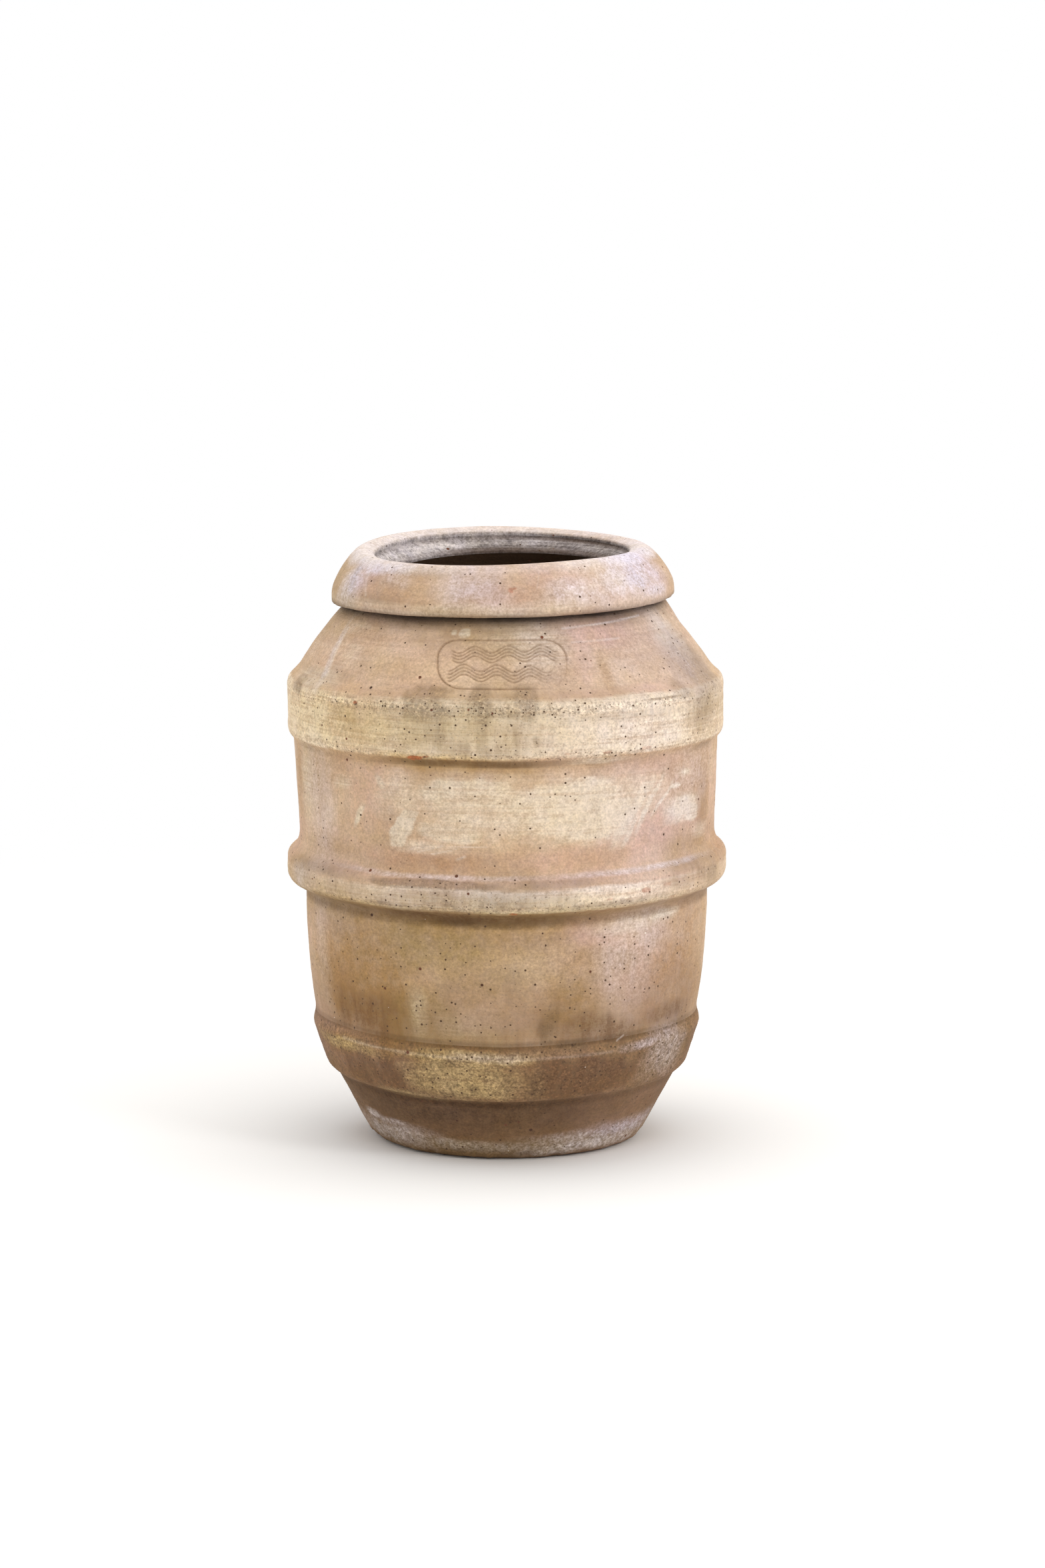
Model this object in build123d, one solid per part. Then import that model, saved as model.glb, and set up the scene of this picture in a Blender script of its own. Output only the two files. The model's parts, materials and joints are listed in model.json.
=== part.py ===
from build123d import *
from math import hypot
import os

# Hand-built terracotta olive jar, 800 mm tall.
#
# A jar of this kind is raised in stages. A slab of clay makes the floor, and coils are built up
# on it to a first ring of wall. When that has stiffened, its rim is cut to a bevel, scored and
# coated with slip, and the next ring of wall is set on it. A strap of clay is then pressed round
# the outside of each seam, and shows as a band. A collar stands on the shoulder, and a thick roll
# is folded down over it to make the rim. Each of these stages is one solid here, and they meet
# face to face, as they do when the clay is joined.
#
# Frame: millimetres, +Z up, the origin at the centre of the underside of the floor.
# Each solid is a profile, drawn as (radius, height), turned about the Z axis.

# driving dimensions, in millimetres

# clear heights of the jar's zones, from the ground up
foot_height = 94.0
lower_band_height = 78.0
lower_belly_height = 168.0
middle_band_height = 71.0
upper_belly_height = 134.0
upper_band_height = 95.0
shoulder_height = 97.0
rim_height = 63.0

# outside radius of the bare wall at the ground, and what each zone adds to it
base_radius = 181.0
foot_flare = 50.0
lower_band_flare = 27.5
lower_belly_flare = 13.5
middle_band_flare = 8.0
upper_belly_flare = 6.0
shoulder_seam_draw = 1.0
shoulder_foot_draw = 8.0

# how far the belly and the shoulder swell past a straight wall
lower_belly_swell = 3.6
shoulder_swell = 3.4

# clay thicknesses
wall_thickness = 22.0
floor_thickness = 30.0
base_edge_rounding = 17.0

# seams between the rings of wall
seam_bevel = 8.0
floor_coil_width = 26.0
floor_coil_hollow = 4.0

# lower band, a plain strap that leans out with the wall
lower_band_thickness = 10.0
lower_band_under_rise = 8.0
lower_band_top_fall = 15.0
lower_band_under_rounding = 8.0
lower_band_top_rounding = 8.0

# middle band, a strap drawn to a blunt nose under a hollow sweep
middle_band_thickness = 21.0
middle_band_under_rise = 14.0
middle_band_face_height = 37.0
middle_band_sweep_hollow = 2.5
middle_band_under_rounding = 18.0
middle_band_top_rounding = 11.0

# upper band, a wide flat strap that covers the turn of the shoulder
upper_band_thickness = 7.8
upper_band_under_rise = 8.0
upper_band_top_fall = 15.0
upper_band_under_rounding = 18.0
upper_band_top_rounding = 11.0

# rolled rim and the collar inside it
throat_radius = 150.0
neck_step = 50.0
throat_depth = 34.0
throat_land = 10.0
mouth_flare = 21.0
crest_width = 17.0
crest_outer_rounding = 22.0
mouth_rounding = 9.0
rim_overhang = 30.0
rim_side_height = 18.0
rim_lip_drop = 11.0
rim_face_swell = 5.5
rim_lip_rounding = 8.0
collar_thickness = 30.0

# every cutting shape runs past what it cuts by this much
overrun = 40.0

# heights and radii worked out from the zones

foot_top = foot_height
lower_band_top = foot_top + lower_band_height
lower_belly_top = lower_band_top + lower_belly_height
middle_band_top = lower_belly_top + middle_band_height
upper_belly_top = middle_band_top + upper_belly_height
upper_band_top = upper_belly_top + upper_band_height
shoulder_top = upper_band_top + shoulder_height
jar_height = shoulder_top + rim_height

foot_top_radius = base_radius + foot_flare
lower_belly_foot_radius = foot_top_radius + lower_band_flare
lower_belly_top_radius = lower_belly_foot_radius + lower_belly_flare
upper_belly_foot_radius = lower_belly_top_radius + middle_band_flare
upper_belly_top_radius = upper_belly_foot_radius + upper_belly_flare
shoulder_seam_radius = upper_belly_top_radius - shoulder_seam_draw
shoulder_foot_radius = upper_belly_top_radius - shoulder_foot_draw
neck_radius = throat_radius + neck_step

throat_bottom = jar_height - throat_depth
throat_top = throat_bottom + throat_land
mouth_radius = throat_radius + mouth_flare
lower_seam = foot_top + lower_band_height / 2
middle_seam = lower_belly_top + middle_band_height / 2
upper_seam = upper_belly_top + upper_band_height / 2


# drawing helpers


def bowed_edge(start, end, swell):
    """A straight edge, or an arc whose middle stands off it by swell, to the right of the way."""
    if swell == 0:
        return Line(start, end)
    run, rise = end[0] - start[0], end[1] - start[1]
    length = hypot(run, rise)
    middle = (
        (start[0] + end[0]) / 2 + swell * rise / length,
        (start[1] + end[1]) / 2 - swell * run / length,
    )
    return ThreePointArc(start, middle, end)


def outline(points, swells=None):
    """A closed face through points. swells gives the swell of the edge that leaves a point."""
    swells = swells or {}
    ends = points[1:] + points[:1]
    edges = [bowed_edge(a, b, swells.get(a, 0)) for a, b in zip(points, ends)]
    return make_face(Curve() + edges)


def rounded(face, corner, radius):
    """The face with the corner nearest to a point rounded."""
    return fillet(face.vertices().sort_by_distance(Vector(*corner)).first, radius)


def inset(points, thickness):
    """The corners of a line that runs thickness to the left of a line through points."""
    sides = []
    for (x0, y0), (x1, y1) in zip(points, points[1:]):
        length = hypot(x1 - x0, y1 - y0)
        left = (-(y1 - y0) / length * thickness, (x1 - x0) / length * thickness)
        sides.append(((x0 + left[0], y0 + left[1]), (x1 + left[0], y1 + left[1])))
    moved = [sides[0][0]]
    for (a, b), (c, d) in zip(sides, sides[1:]):
        moved.append(crossing(a, b, c, d))
    moved.append(sides[-1][1])
    return moved


def crossing(a, b, c, d):
    """Where the line through a and b meets the line through c and d."""
    ux, uy = b[0] - a[0], b[1] - a[1]
    vx, vy = d[0] - c[0], d[1] - c[1]
    turn = ux * vy - uy * vx
    share = ((c[0] - a[0]) * vy - (c[1] - a[1]) * vx) / turn
    return (a[0] + ux * share, a[1] + uy * share)


def radius_at(start, end, height):
    """The radius of a straight wall between two points, at a height."""
    share = (height - start[1]) / (end[1] - start[1])
    return start[0] + (end[0] - start[0]) * share


def turned(face):
    """The solid that a profile of (radius, height) sweeps about the jar's axis."""
    return revolve(Plane.XZ * face, axis=Axis.Z)


# the bare wall: its outside, its hollow, and the shell between them

base_edge = (base_radius, 0)
foot_edge = (foot_top_radius, foot_top)
lower_belly_foot = (lower_belly_foot_radius, lower_band_top)
lower_belly_head = (lower_belly_top_radius, lower_belly_top)
upper_belly_foot = (upper_belly_foot_radius, middle_band_top)
upper_belly_head = (upper_belly_top_radius, upper_belly_top)
shoulder_turn = (shoulder_seam_radius, upper_seam)
shoulder_foot = (shoulder_foot_radius, upper_band_top)
neck_edge = (neck_radius, shoulder_top)
wall_line = [
    base_edge,
    foot_edge,
    lower_belly_foot,
    lower_belly_head,
    upper_belly_foot,
    upper_belly_head,
    shoulder_turn,
    shoulder_foot,
    neck_edge,
]
inner_line = inset(wall_line, wall_thickness)
inner_foot_line = inner_line[:2]
floor_corner = (radius_at(*inner_foot_line, floor_thickness), floor_thickness)


def wall_swells(line):
    """The swells of the wall's two bowed stretches, on the outer or the inner line."""
    return {
        line[wall_line.index(lower_belly_foot)]: lower_belly_swell,
        line[wall_line.index(shoulder_foot)]: shoulder_swell,
    }


def wall_body():
    """Everything inside the wall's outside face, up to the top of the shoulder."""
    face = outline([(0, 0), *wall_line, (0, shoulder_top)], wall_swells(wall_line))
    return rounded(face, base_edge, base_edge_rounding)


def hollow():
    """The jar's inside, from the top of the floor out through the mouth."""
    points = [(0, floor_thickness), floor_corner, *inner_line[1:]]
    top = jar_height + overrun
    points += [(throat_radius, throat_bottom), (throat_radius, throat_top)]
    points += [(mouth_radius, jar_height), (mouth_radius, top), (0, top)]
    return outline(points, wall_swells(inner_line))


def seam_line(radius, height):
    """Two points on a seam that falls inwards across the wall, one each side of the wall."""
    slope = seam_bevel / wall_thickness
    reach = wall_thickness + overrun
    return (radius - reach, height - reach * slope), (radius + overrun, height + overrun * slope)


def below(seam):
    """The region under a seam, down past the ground and out to the axis."""
    inner, outer = seam
    ground = -overrun
    return outline([(0, ground), (outer[0], ground), outer, inner, (0, inner[1])])


wall = wall_body()
inside = hollow()
shell = wall - inside

lower_seam_radius = radius_at(foot_edge, lower_belly_foot, lower_seam)
middle_seam_radius = radius_at(lower_belly_head, upper_belly_foot, middle_seam)
below_lower_seam = below(seam_line(lower_seam_radius, lower_seam))
below_middle_seam = below(seam_line(middle_seam_radius, middle_seam))
below_upper_seam = below(seam_line(shoulder_seam_radius, upper_seam))
floor_seam_reach = foot_top_radius + overrun
floor_region = outline(
    [
        (0, -overrun),
        (floor_seam_reach, -overrun),
        (floor_seam_reach, floor_thickness),
        (0, floor_thickness),
    ]
)


# floor and rings of wall


def floor_slab():
    """The flat slab that the jar is raised on, with its worn lower edge."""
    return turned(shell & floor_region)


def floor_seam_coil():
    """A thin coil pressed into the inside corner of floor and wall, and smoothed to a hollow."""
    wall_height = floor_thickness + floor_coil_width
    wall_point = (radius_at(*inner_foot_line, wall_height), wall_height)
    floor_point = (floor_corner[0] - floor_coil_width, floor_thickness)
    hollows = {wall_point: -floor_coil_hollow}
    return turned(outline([floor_point, floor_corner, wall_point], hollows))


def foot_wall():
    """The first ring of wall, which stands on the floor slab."""
    return turned((shell - floor_region) & below_lower_seam)


def lower_belly_wall():
    """The second ring of wall, up to the middle band."""
    return turned((shell - below_lower_seam) & below_middle_seam)


def upper_belly_wall():
    """The third ring of wall, up to the turn of the shoulder."""
    return turned((shell - below_middle_seam) & below_upper_seam)


def shoulder_wall():
    """The fourth ring of wall, drawn in to the neck."""
    return turned(shell - below_upper_seam)


# bands pressed on over the seams


def lower_band():
    """The strap over the seam of foot and belly, as thick at its foot as at its top."""
    under = foot_top + lower_band_under_rise
    top = lower_band_top - lower_band_top_fall
    low_radius = radius_at(foot_edge, lower_belly_foot, under) + lower_band_thickness
    high_radius = radius_at(foot_edge, lower_belly_foot, top) + lower_band_thickness
    low_corner = (low_radius, under)
    high_corner = (high_radius, top)
    face = outline(
        [
            (foot_top_radius - wall_thickness, foot_top),
            foot_edge,
            low_corner,
            high_corner,
            lower_belly_foot,
            (lower_belly_foot_radius - wall_thickness, lower_band_top),
        ]
    )
    face = rounded(face, low_corner, lower_band_under_rounding)
    face = rounded(face, high_corner, lower_band_top_rounding)
    return turned(face - wall)


def middle_band():
    """The strap over the seam of the two bellies, with a blunt nose and a hollow top."""
    under = lower_belly_top + middle_band_under_rise
    top = under + middle_band_face_height
    nose_radius = middle_seam_radius + middle_band_thickness
    low_corner = (nose_radius, under)
    high_corner = (nose_radius, top)
    face = outline(
        [
            (lower_belly_top_radius - wall_thickness, lower_belly_top),
            lower_belly_head,
            low_corner,
            high_corner,
            upper_belly_foot,
            (upper_belly_foot_radius - wall_thickness, middle_band_top),
        ],
        {high_corner: -middle_band_sweep_hollow},
    )
    face = rounded(face, low_corner, middle_band_under_rounding)
    face = rounded(face, high_corner, middle_band_top_rounding)
    return turned(face - wall)


def upper_band():
    """The wide strap over the turn of the shoulder, with a soft lower edge."""
    under = upper_belly_top + upper_band_under_rise
    top = upper_band_top - upper_band_top_fall
    strap_radius = upper_belly_top_radius + upper_band_thickness
    low_corner = (strap_radius, under)
    high_corner = (strap_radius, top)
    face = outline(
        [
            (upper_belly_top_radius - wall_thickness, upper_belly_top),
            upper_belly_head,
            low_corner,
            high_corner,
            shoulder_foot,
            (shoulder_foot_radius - wall_thickness, upper_band_top),
        ]
    )
    face = rounded(face, low_corner, upper_band_under_rounding)
    face = rounded(face, high_corner, upper_band_top_rounding)
    return turned(face - wall)


# collar and rolled rim


def collar_body():
    """Everything inside the collar's outside face."""
    collar_radius = throat_radius + collar_thickness
    return outline(
        [
            (0, shoulder_top),
            neck_edge,
            (collar_radius, throat_bottom),
            (0, throat_bottom),
        ]
    )


def neck_collar():
    """The short collar that stands on the shoulder, under the roll of the rim."""
    return turned(collar_body() - inside)


def rim_roll():
    """The thick roll folded down over the collar, whose inside face is the throat."""
    side_radius = neck_radius + rim_overhang
    crest_outer = (mouth_radius + crest_width, jar_height)
    side = (side_radius, shoulder_top + rim_side_height - rim_lip_drop)
    lip = (side_radius, shoulder_top - rim_lip_drop)
    mouth_corner = (mouth_radius, jar_height)
    face = outline(
        [
            (throat_radius, throat_bottom),
            (neck_radius - wall_thickness, shoulder_top),
            neck_edge,
            lip,
            side,
            crest_outer,
            mouth_corner,
            (throat_radius, throat_top),
        ],
        {side: rim_face_swell},
    )
    face = rounded(face, lip, rim_lip_rounding)
    face = rounded(face, crest_outer, crest_outer_rounding)
    face = rounded(face, mouth_corner, mouth_rounding)
    return turned(face - collar_body() - wall - inside)


pieces = {
    "floor_slab": floor_slab(),
    "floor_seam_coil": floor_seam_coil(),
    "foot_wall": foot_wall(),
    "lower_band": lower_band(),
    "lower_belly_wall": lower_belly_wall(),
    "middle_band": middle_band(),
    "upper_belly_wall": upper_belly_wall(),
    "upper_band": upper_band(),
    "shoulder_wall": shoulder_wall(),
    "neck_collar": neck_collar(),
    "rim_roll": rim_roll(),
}

os.makedirs("parts", exist_ok=True)
for name, piece in pieces.items():
    export_step(piece, f"parts/{name}.step")

CUBIC_MM_PER_LITRE = 1e6
clay_litres = sum(piece.volume for piece in pieces.values()) / CUBIC_MM_PER_LITRE
print(f"jar height {jar_height:.0f} mm, clay {clay_litres:.2f} litres in {len(pieces)} pieces")
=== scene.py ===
# %% [markdown]
# # A terracotta olive jar
# The jar is a hand-built Tuscan storage jar of unglazed clay that has stood outdoors for years.
# Eleven CAD solids, one for each stage of building, give its size and its seams. This lesson
# turns the same profile again as fine meshes, dents and marks them, and paints the weathering.
# Everything is placed from the CAD frame, so the dressed jar can't drift away from it.

# %% Load the frame
import json
from math import ceil, hypot, radians

import bpy
import numpy as np
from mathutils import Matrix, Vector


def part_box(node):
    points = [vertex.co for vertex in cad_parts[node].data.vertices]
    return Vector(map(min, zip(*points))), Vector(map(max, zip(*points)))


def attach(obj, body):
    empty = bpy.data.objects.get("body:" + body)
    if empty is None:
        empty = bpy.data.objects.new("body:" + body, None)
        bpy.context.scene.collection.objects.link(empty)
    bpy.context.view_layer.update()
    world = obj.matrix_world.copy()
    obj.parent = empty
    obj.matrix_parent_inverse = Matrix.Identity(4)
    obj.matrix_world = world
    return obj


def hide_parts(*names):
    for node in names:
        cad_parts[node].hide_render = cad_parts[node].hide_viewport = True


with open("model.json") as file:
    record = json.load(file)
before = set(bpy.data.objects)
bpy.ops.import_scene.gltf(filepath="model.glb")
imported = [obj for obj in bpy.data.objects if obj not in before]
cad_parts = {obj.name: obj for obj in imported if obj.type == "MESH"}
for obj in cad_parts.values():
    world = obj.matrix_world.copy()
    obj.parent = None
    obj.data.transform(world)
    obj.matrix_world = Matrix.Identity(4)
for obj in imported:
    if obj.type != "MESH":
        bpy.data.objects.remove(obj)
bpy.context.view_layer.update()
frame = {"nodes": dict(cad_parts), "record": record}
MM = 0.001  # one millimetre in Blender's metres

# %% [markdown]
# ## The camera
# A product photograph of a jar is taken from some way off with a long lens, so that the round
# bands look nearly level. The camera stands 6.9 m away at chest height and looks a little down.

# %% Place the camera
EYE = (0.023, -6.880, 1.500)
LOOK_DOWN = 8.454  # degrees below level
LENS = 118.5  # mm, on a frame whose long side is 36 mm

camera_data = bpy.data.cameras.new("long_lens")
camera_data.lens = LENS
camera_data.sensor_width = 36.0
camera = bpy.data.objects.new("camera", camera_data)
camera.location = EYE
camera.rotation_euler = (radians(90 - LOOK_DOWN), 0, 0)
bpy.context.scene.collection.objects.link(camera)
bpy.context.scene.camera = camera
bpy.context.scene.view_settings.view_transform = "Standard"

# %% [markdown]
# ## Helpers for materials
# Colours are written as the hex codes that a paint program shows. Blender works in linear light,
# so one function converts them. Another adds a node, sets it up and wires it in one go, which
# keeps a long material readable from top to bottom.

# %% Colour and node helpers
MIX_FACTOR, MIX_A, MIX_B, MIX_COLOUR = 0, 6, 7, 2  # the Mix node's sockets for colours


def linear(hex_colour):
    """An sRGB hex colour as linear red, green, blue and alpha."""
    channels = [int(hex_colour[i : i + 2], 16) / 255 for i in (1, 3, 5)]
    return [c / 12.92 if c <= 0.04045 else ((c + 0.055) / 1.055) ** 2.4 for c in channels] + [1]


def add(tree, kind, inputs=None, **settings):
    """Adds a shader node with its own settings, and a value or a link for each input socket."""
    node = tree.nodes.new("ShaderNode" + kind)
    for name, value in settings.items():
        setattr(node, name, value)
    for socket, value in (inputs or {}).items():
        if isinstance(value, bpy.types.NodeSocket):
            tree.links.new(value, node.inputs[socket])
        else:
            node.inputs[socket].default_value = value
    return node


def new_material(name):
    """An empty node material and its tree."""
    material = bpy.data.materials.new(name)
    material.use_nodes = True
    material.node_tree.nodes.clear()
    return material, material.node_tree


# %% [markdown]
# ## Floor and room
# The jar stands on a pale floor in a white room. Near the jar the floor is plain matt paint, so
# it takes the jar's shadow and throws light back up under the bands. Further out the camera sees
# it as pure white, which joins it to the white room without a horizon. Only camera, mirror and
# glass rays see that white, so it adds no light to the clay. The light that does fall on the clay
# comes a little stronger from behind the jar, which keeps its sides as light as its front.

# %% Floor and world
FLOOR_HALF = 30.0
SHADOW_NEAR, SHADOW_FAR = 1.3, 2.6  # metres from the jar, over which the floor turns pure white
ROOM_FRONT, ROOM_BACK = 0.72, 1.08  # brightness of the room's light on the clay


def seen_directly(tree):
    """1 for rays that show the background itself, 0 for those that light the jar."""
    ray = add(tree, "LightPath").outputs
    mirror = {0: ray["Is Glossy Ray"], 1: ray["Is Transmission Ray"]}
    mirror = add(tree, "Math", mirror, operation="MAXIMUM").outputs[0]
    seen = {0: ray["Is Camera Ray"], 1: mirror}
    return add(tree, "Math", seen, operation="MAXIMUM").outputs[0]


def matt_floor_paint():
    """White matt paint that fades to a pure white away from the jar."""
    material, tree = new_material("matt_floor_paint")
    place = add(tree, "NewGeometry").outputs["Position"]
    away = add(tree, "VectorMath", {0: place}, operation="LENGTH").outputs["Value"]
    fade = {"Value": away, "From Min": SHADOW_NEAR, "From Max": SHADOW_FAR}
    fade = add(tree, "MapRange", fade, interpolation_type="SMOOTHSTEP").outputs[0]
    share = add(tree, "Math", {0: fade, 1: seen_directly(tree)}, operation="MULTIPLY")
    paint = add(tree, "BsdfDiffuse", {"Color": linear("#fbfaf8")})
    white = add(tree, "Emission", {"Color": (1, 1, 1, 1), "Strength": 1.0})
    surface = {0: share.outputs[0], 1: paint.outputs[0], 2: white.outputs[0]}
    mixed = add(tree, "MixShader", surface)
    add(tree, "OutputMaterial", {"Surface": mixed.outputs[0]})
    return material


floor_mesh = bpy.data.meshes.new("floor")
corners = [(-1, -1), (1, -1), (1, 1), (-1, 1)]
floor_mesh.from_pydata([(x * FLOOR_HALF, y * FLOOR_HALF, 0) for x, y in corners], [], [[0, 1, 2, 3]])
floor = bpy.data.objects.new("floor", floor_mesh)
floor.data.materials.append(matt_floor_paint())
bpy.context.scene.collection.objects.link(floor)

world = bpy.data.worlds.new("white_room")
world.use_nodes = True
world.node_tree.nodes.clear()
tree = world.node_tree
way = add(tree, "TexCoord").outputs["Generated"]
way = add(tree, "SeparateXYZ", {"Vector": way}).outputs["Y"]
around = {"Value": way, "From Min": -0.5, "From Max": 0.5}
around |= {"To Min": ROOM_FRONT, "To Max": ROOM_BACK}
around = add(tree, "MapRange", around).outputs[0]
brightness = {0: seen_directly(tree), 2: around, 3: 1.0}
brightness = add(tree, "Mix", brightness, data_type="FLOAT").outputs[0]
room = {"Color": (1, 1, 1, 1), "Strength": brightness}
background = add(tree, "Background", room)
add(tree, "OutputWorld", {"Surface": background.outputs[0]})
bpy.context.scene.world = world

# %% [markdown]
# ## Lamps
# Two soft lamps do the rest. A wide one overhead draws the soft shade under each band. A smaller
# one to the front right is weak, and lays the long faint shadow on the floor to the left.

# %% Two soft lamps


def soft_lamp(name, place, target, size, watts):
    """A square area lamp that faces a target."""
    data = bpy.data.lights.new(name, "AREA")
    data.shape = "SQUARE"
    data.size = size
    data.energy = watts
    lamp = bpy.data.objects.new(name, data)
    lamp.location = place
    way = Vector(target) - Vector(place)
    lamp.rotation_euler = way.to_track_quat("-Z", "Y").to_euler()
    bpy.context.scene.collection.objects.link(lamp)


# places and sizes in metres, strength in watts
soft_lamp("overhead_softbox", (0, -0.2, 4.2), (0, 0, 0), 4.0, 52)
soft_lamp("window", (3.3, -2.9, 2.6), (0, 0, 0.4), 1.3, 50)

# %% [markdown]
# ## Sizes from the CAD jar
# A turned solid is a stack of rings. The heights of the bands come from the boxes of their CAD
# nodes, and the radius of the wall at each of those heights from the rings of its mesh. The same
# helper gives the radius of the wall between them, and the inside is the wall moved in by its
# thickness.

# %% Read heights and radii
RING_REACH = 0.5  # mm above and below a height in which its ring of points is looked for


def heights(node):
    """The lowest and highest point of a CAD node, in mm."""
    low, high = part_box(node)
    return low.z / MM, high.z / MM


def ring_radius(node, height, pick=max):
    """The largest, or smallest, ring that a CAD node has at a height, in mm."""
    points = np.array([v.co for v in frame["nodes"][node].data.vertices]) / MM
    level = abs(points[:, 2] - height) < RING_REACH
    return float(pick(np.hypot(points[level, 0], points[level, 1])))


floor_top = heights("floor_slab")[1]
foot_top, lower_band_top = heights("lower_band")
lower_belly_top, middle_band_top = heights("middle_band")
upper_belly_top, upper_band_top = heights("upper_band")
shoulder_top, throat_bottom = heights("neck_collar")
crest = heights("rim_roll")[1]
turn_height = (upper_belly_top + upper_band_top) / 2

foot_radius = ring_radius("foot_wall", foot_top)
floor_radius = ring_radius("foot_wall", floor_top)
base_radius = floor_radius - floor_top * (foot_radius - floor_radius) / (foot_top - floor_top)
wall_line = np.array(
    [
        (base_radius, 0),
        (foot_radius, foot_top),
        (ring_radius("lower_belly_wall", lower_band_top), lower_band_top),
        (ring_radius("lower_belly_wall", lower_belly_top), lower_belly_top),
        (ring_radius("upper_belly_wall", middle_band_top), middle_band_top),
        (ring_radius("upper_belly_wall", upper_belly_top), upper_belly_top),
        (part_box("shoulder_wall")[1].x / MM, turn_height),
        (ring_radius("shoulder_wall", upper_band_top), upper_band_top),
        (ring_radius("shoulder_wall", shoulder_top), shoulder_top),
    ]
)
print("wall radius and height, mm:", wall_line.round(1).tolist())

# %% [markdown]
# ## The profile
# The whole outside is one line, from under the floor, up over the bands and the rim, and down
# into the throat. It has a corner wherever the potter's hand changed direction. Wet clay has no
# sharp corners, so each corner is eased by a short curve, and a corner that opens upwards between
# band and wall gets the small hollow that a wet finger leaves. Each piece then takes its own
# stretch of that line, which is why neighbours always meet.

# %% Corners of the profile
WALL_THICKNESS = 22.0  # mm, as in the CAD walls
LOWER_BAND_THICKNESS = 10.0

throat_radius = ring_radius("neck_collar", throat_bottom, min)
nose_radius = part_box("middle_band")[1].x / MM
strap_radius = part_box("upper_band")[1].x / MM
rim_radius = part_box("rim_roll")[1].x / MM
lip_height = shoulder_top - 11  # the roll hangs down a little over the seam at the neck


def wall_radius(height):
    """The outside radius of the bare wall at a height."""
    return float(np.interp(height, wall_line[:, 1], wall_line[:, 0]))


def on_wall(height, out=0.0):
    """A point of the profile at a height, standing out from the wall."""
    return wall_radius(height) + out, height


# name: (radius, height), easing, swell of the stretch that follows, all in mm
profile = {
    "floor_middle": ((4, 0), 0, 0),
    "base_edge": ((base_radius, 0), 20, 0),
    "floor_seam": (on_wall(floor_top), 0, 0),
    "foot_edge": (on_wall(foot_top), 5, 0),
    "lower_band_under": (on_wall(foot_top + 8, LOWER_BAND_THICKNESS), 7, 0),
    "lower_band_shoulder": (on_wall(lower_band_top - 15, LOWER_BAND_THICKNESS), 5, 0),
    "lower_belly_foot": (on_wall(lower_band_top), 9, 3.6),
    "lower_belly_head": (on_wall(lower_belly_top), 4, 0),
    "middle_band_under": ((nose_radius, lower_belly_top + 14), 10, 0),
    "middle_band_shoulder": ((nose_radius, middle_band_top - 20), 9, -2.5),
    "upper_belly_foot": (on_wall(middle_band_top), 10, 0),
    "upper_belly_head": (on_wall(upper_belly_top), 4, 0),
    "upper_band_under": ((strap_radius, upper_belly_top + 8), 7, 0),
    "upper_band_shoulder": ((strap_radius, upper_band_top - 15), 7, 0),
    "shoulder_foot": (on_wall(upper_band_top), 8, 3.4),
    "neck": (on_wall(shoulder_top), 5, 0),
    "rim_lip": ((rim_radius, lip_height), 3.5, 0),
    "rim_side": ((rim_radius, shoulder_top + 7), 8, 5.5),
    "crest_outer": ((throat_radius + 39, crest + 4), 14, 0),
    "mouth": ((throat_radius + 20, crest - 7), 5, 0),
    "mouth_groove": ((throat_radius + 22, crest - 13), 2, 0),
    "throat_top": ((throat_radius, throat_bottom + 3), 2, 0),
    "throat_bottom": ((throat_radius, throat_bottom), 0, 0),
}

# %% Draw the profile
ROW_STEP = 1.8  # mm between rows of points
FINE_STEP = 1.2  # the same on the shoulder, which carries a fine pattern
EASING_STEP = 1.3


def bowed_point(start, end, swell, share):
    """A point on a stretch, a share of the way along it, with its middle pushed out by swell."""
    start, end = np.array(start, float), np.array(end, float)
    run, rise = end - start
    out = np.array((rise, -run)) / hypot(run, rise)
    return start + (end - start) * share + out * swell * 4 * share * (1 - share)


def draw_profile(corners):
    """Rows of (radius, height) down the whole line, and the row that each corner falls on."""
    names = list(corners)
    rows, corner_row = [], {}
    for i, name in enumerate(names):
        place, easing, swell = corners[name]
        if 0 < i < len(names) - 1 and easing:
            before, _, swell_before = corners[names[i - 1]]
            after = corners[names[i + 1]][0]
            length_in = hypot(place[0] - before[0], place[1] - before[1])
            length_out = hypot(after[0] - place[0], after[1] - place[1])
            a = bowed_point(before, place, swell_before, 1 - easing / length_in)
            c = bowed_point(place, after, swell, easing / length_out)
            half = ceil(easing / EASING_STEP)
            for t in np.linspace(0, 1, 2 * half + 1):
                rows.append((1 - t) ** 2 * a + 2 * t * (1 - t) * np.array(place) + t**2 * c)
            corner_row[name] = len(rows) - 1 - half
        else:
            rows.append(np.array(place, float))
            corner_row[name] = len(rows) - 1
        if i < len(names) - 1:
            after, easing_after, _ = corners[names[i + 1]]
            length = hypot(after[0] - place[0], after[1] - place[1])
            step = FINE_STEP if name == "shoulder_foot" else ROW_STEP
            count = ceil((length - easing - easing_after) / step)
            for t in np.linspace(easing / length, 1 - easing_after / length, count + 1)[1:-1]:
                rows.append(bowed_point(place, after, swell, t))
    return np.array(rows), corner_row


skin_line, corner_row = draw_profile(profile)
skin_run = np.append(0, np.cumsum(np.hypot(*np.diff(skin_line, axis=0).T)))
tangent = np.gradient(skin_line, axis=0)
tangent /= np.linalg.norm(tangent, axis=1)[:, None]
skin_out = np.column_stack((tangent[:, 1], -tangent[:, 0]))
corner_run = {name: skin_run[row] for name, row in corner_row.items()}
print(f"profile: {len(skin_line)} rows, {skin_run[-1]:.0f} mm long")

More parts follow.
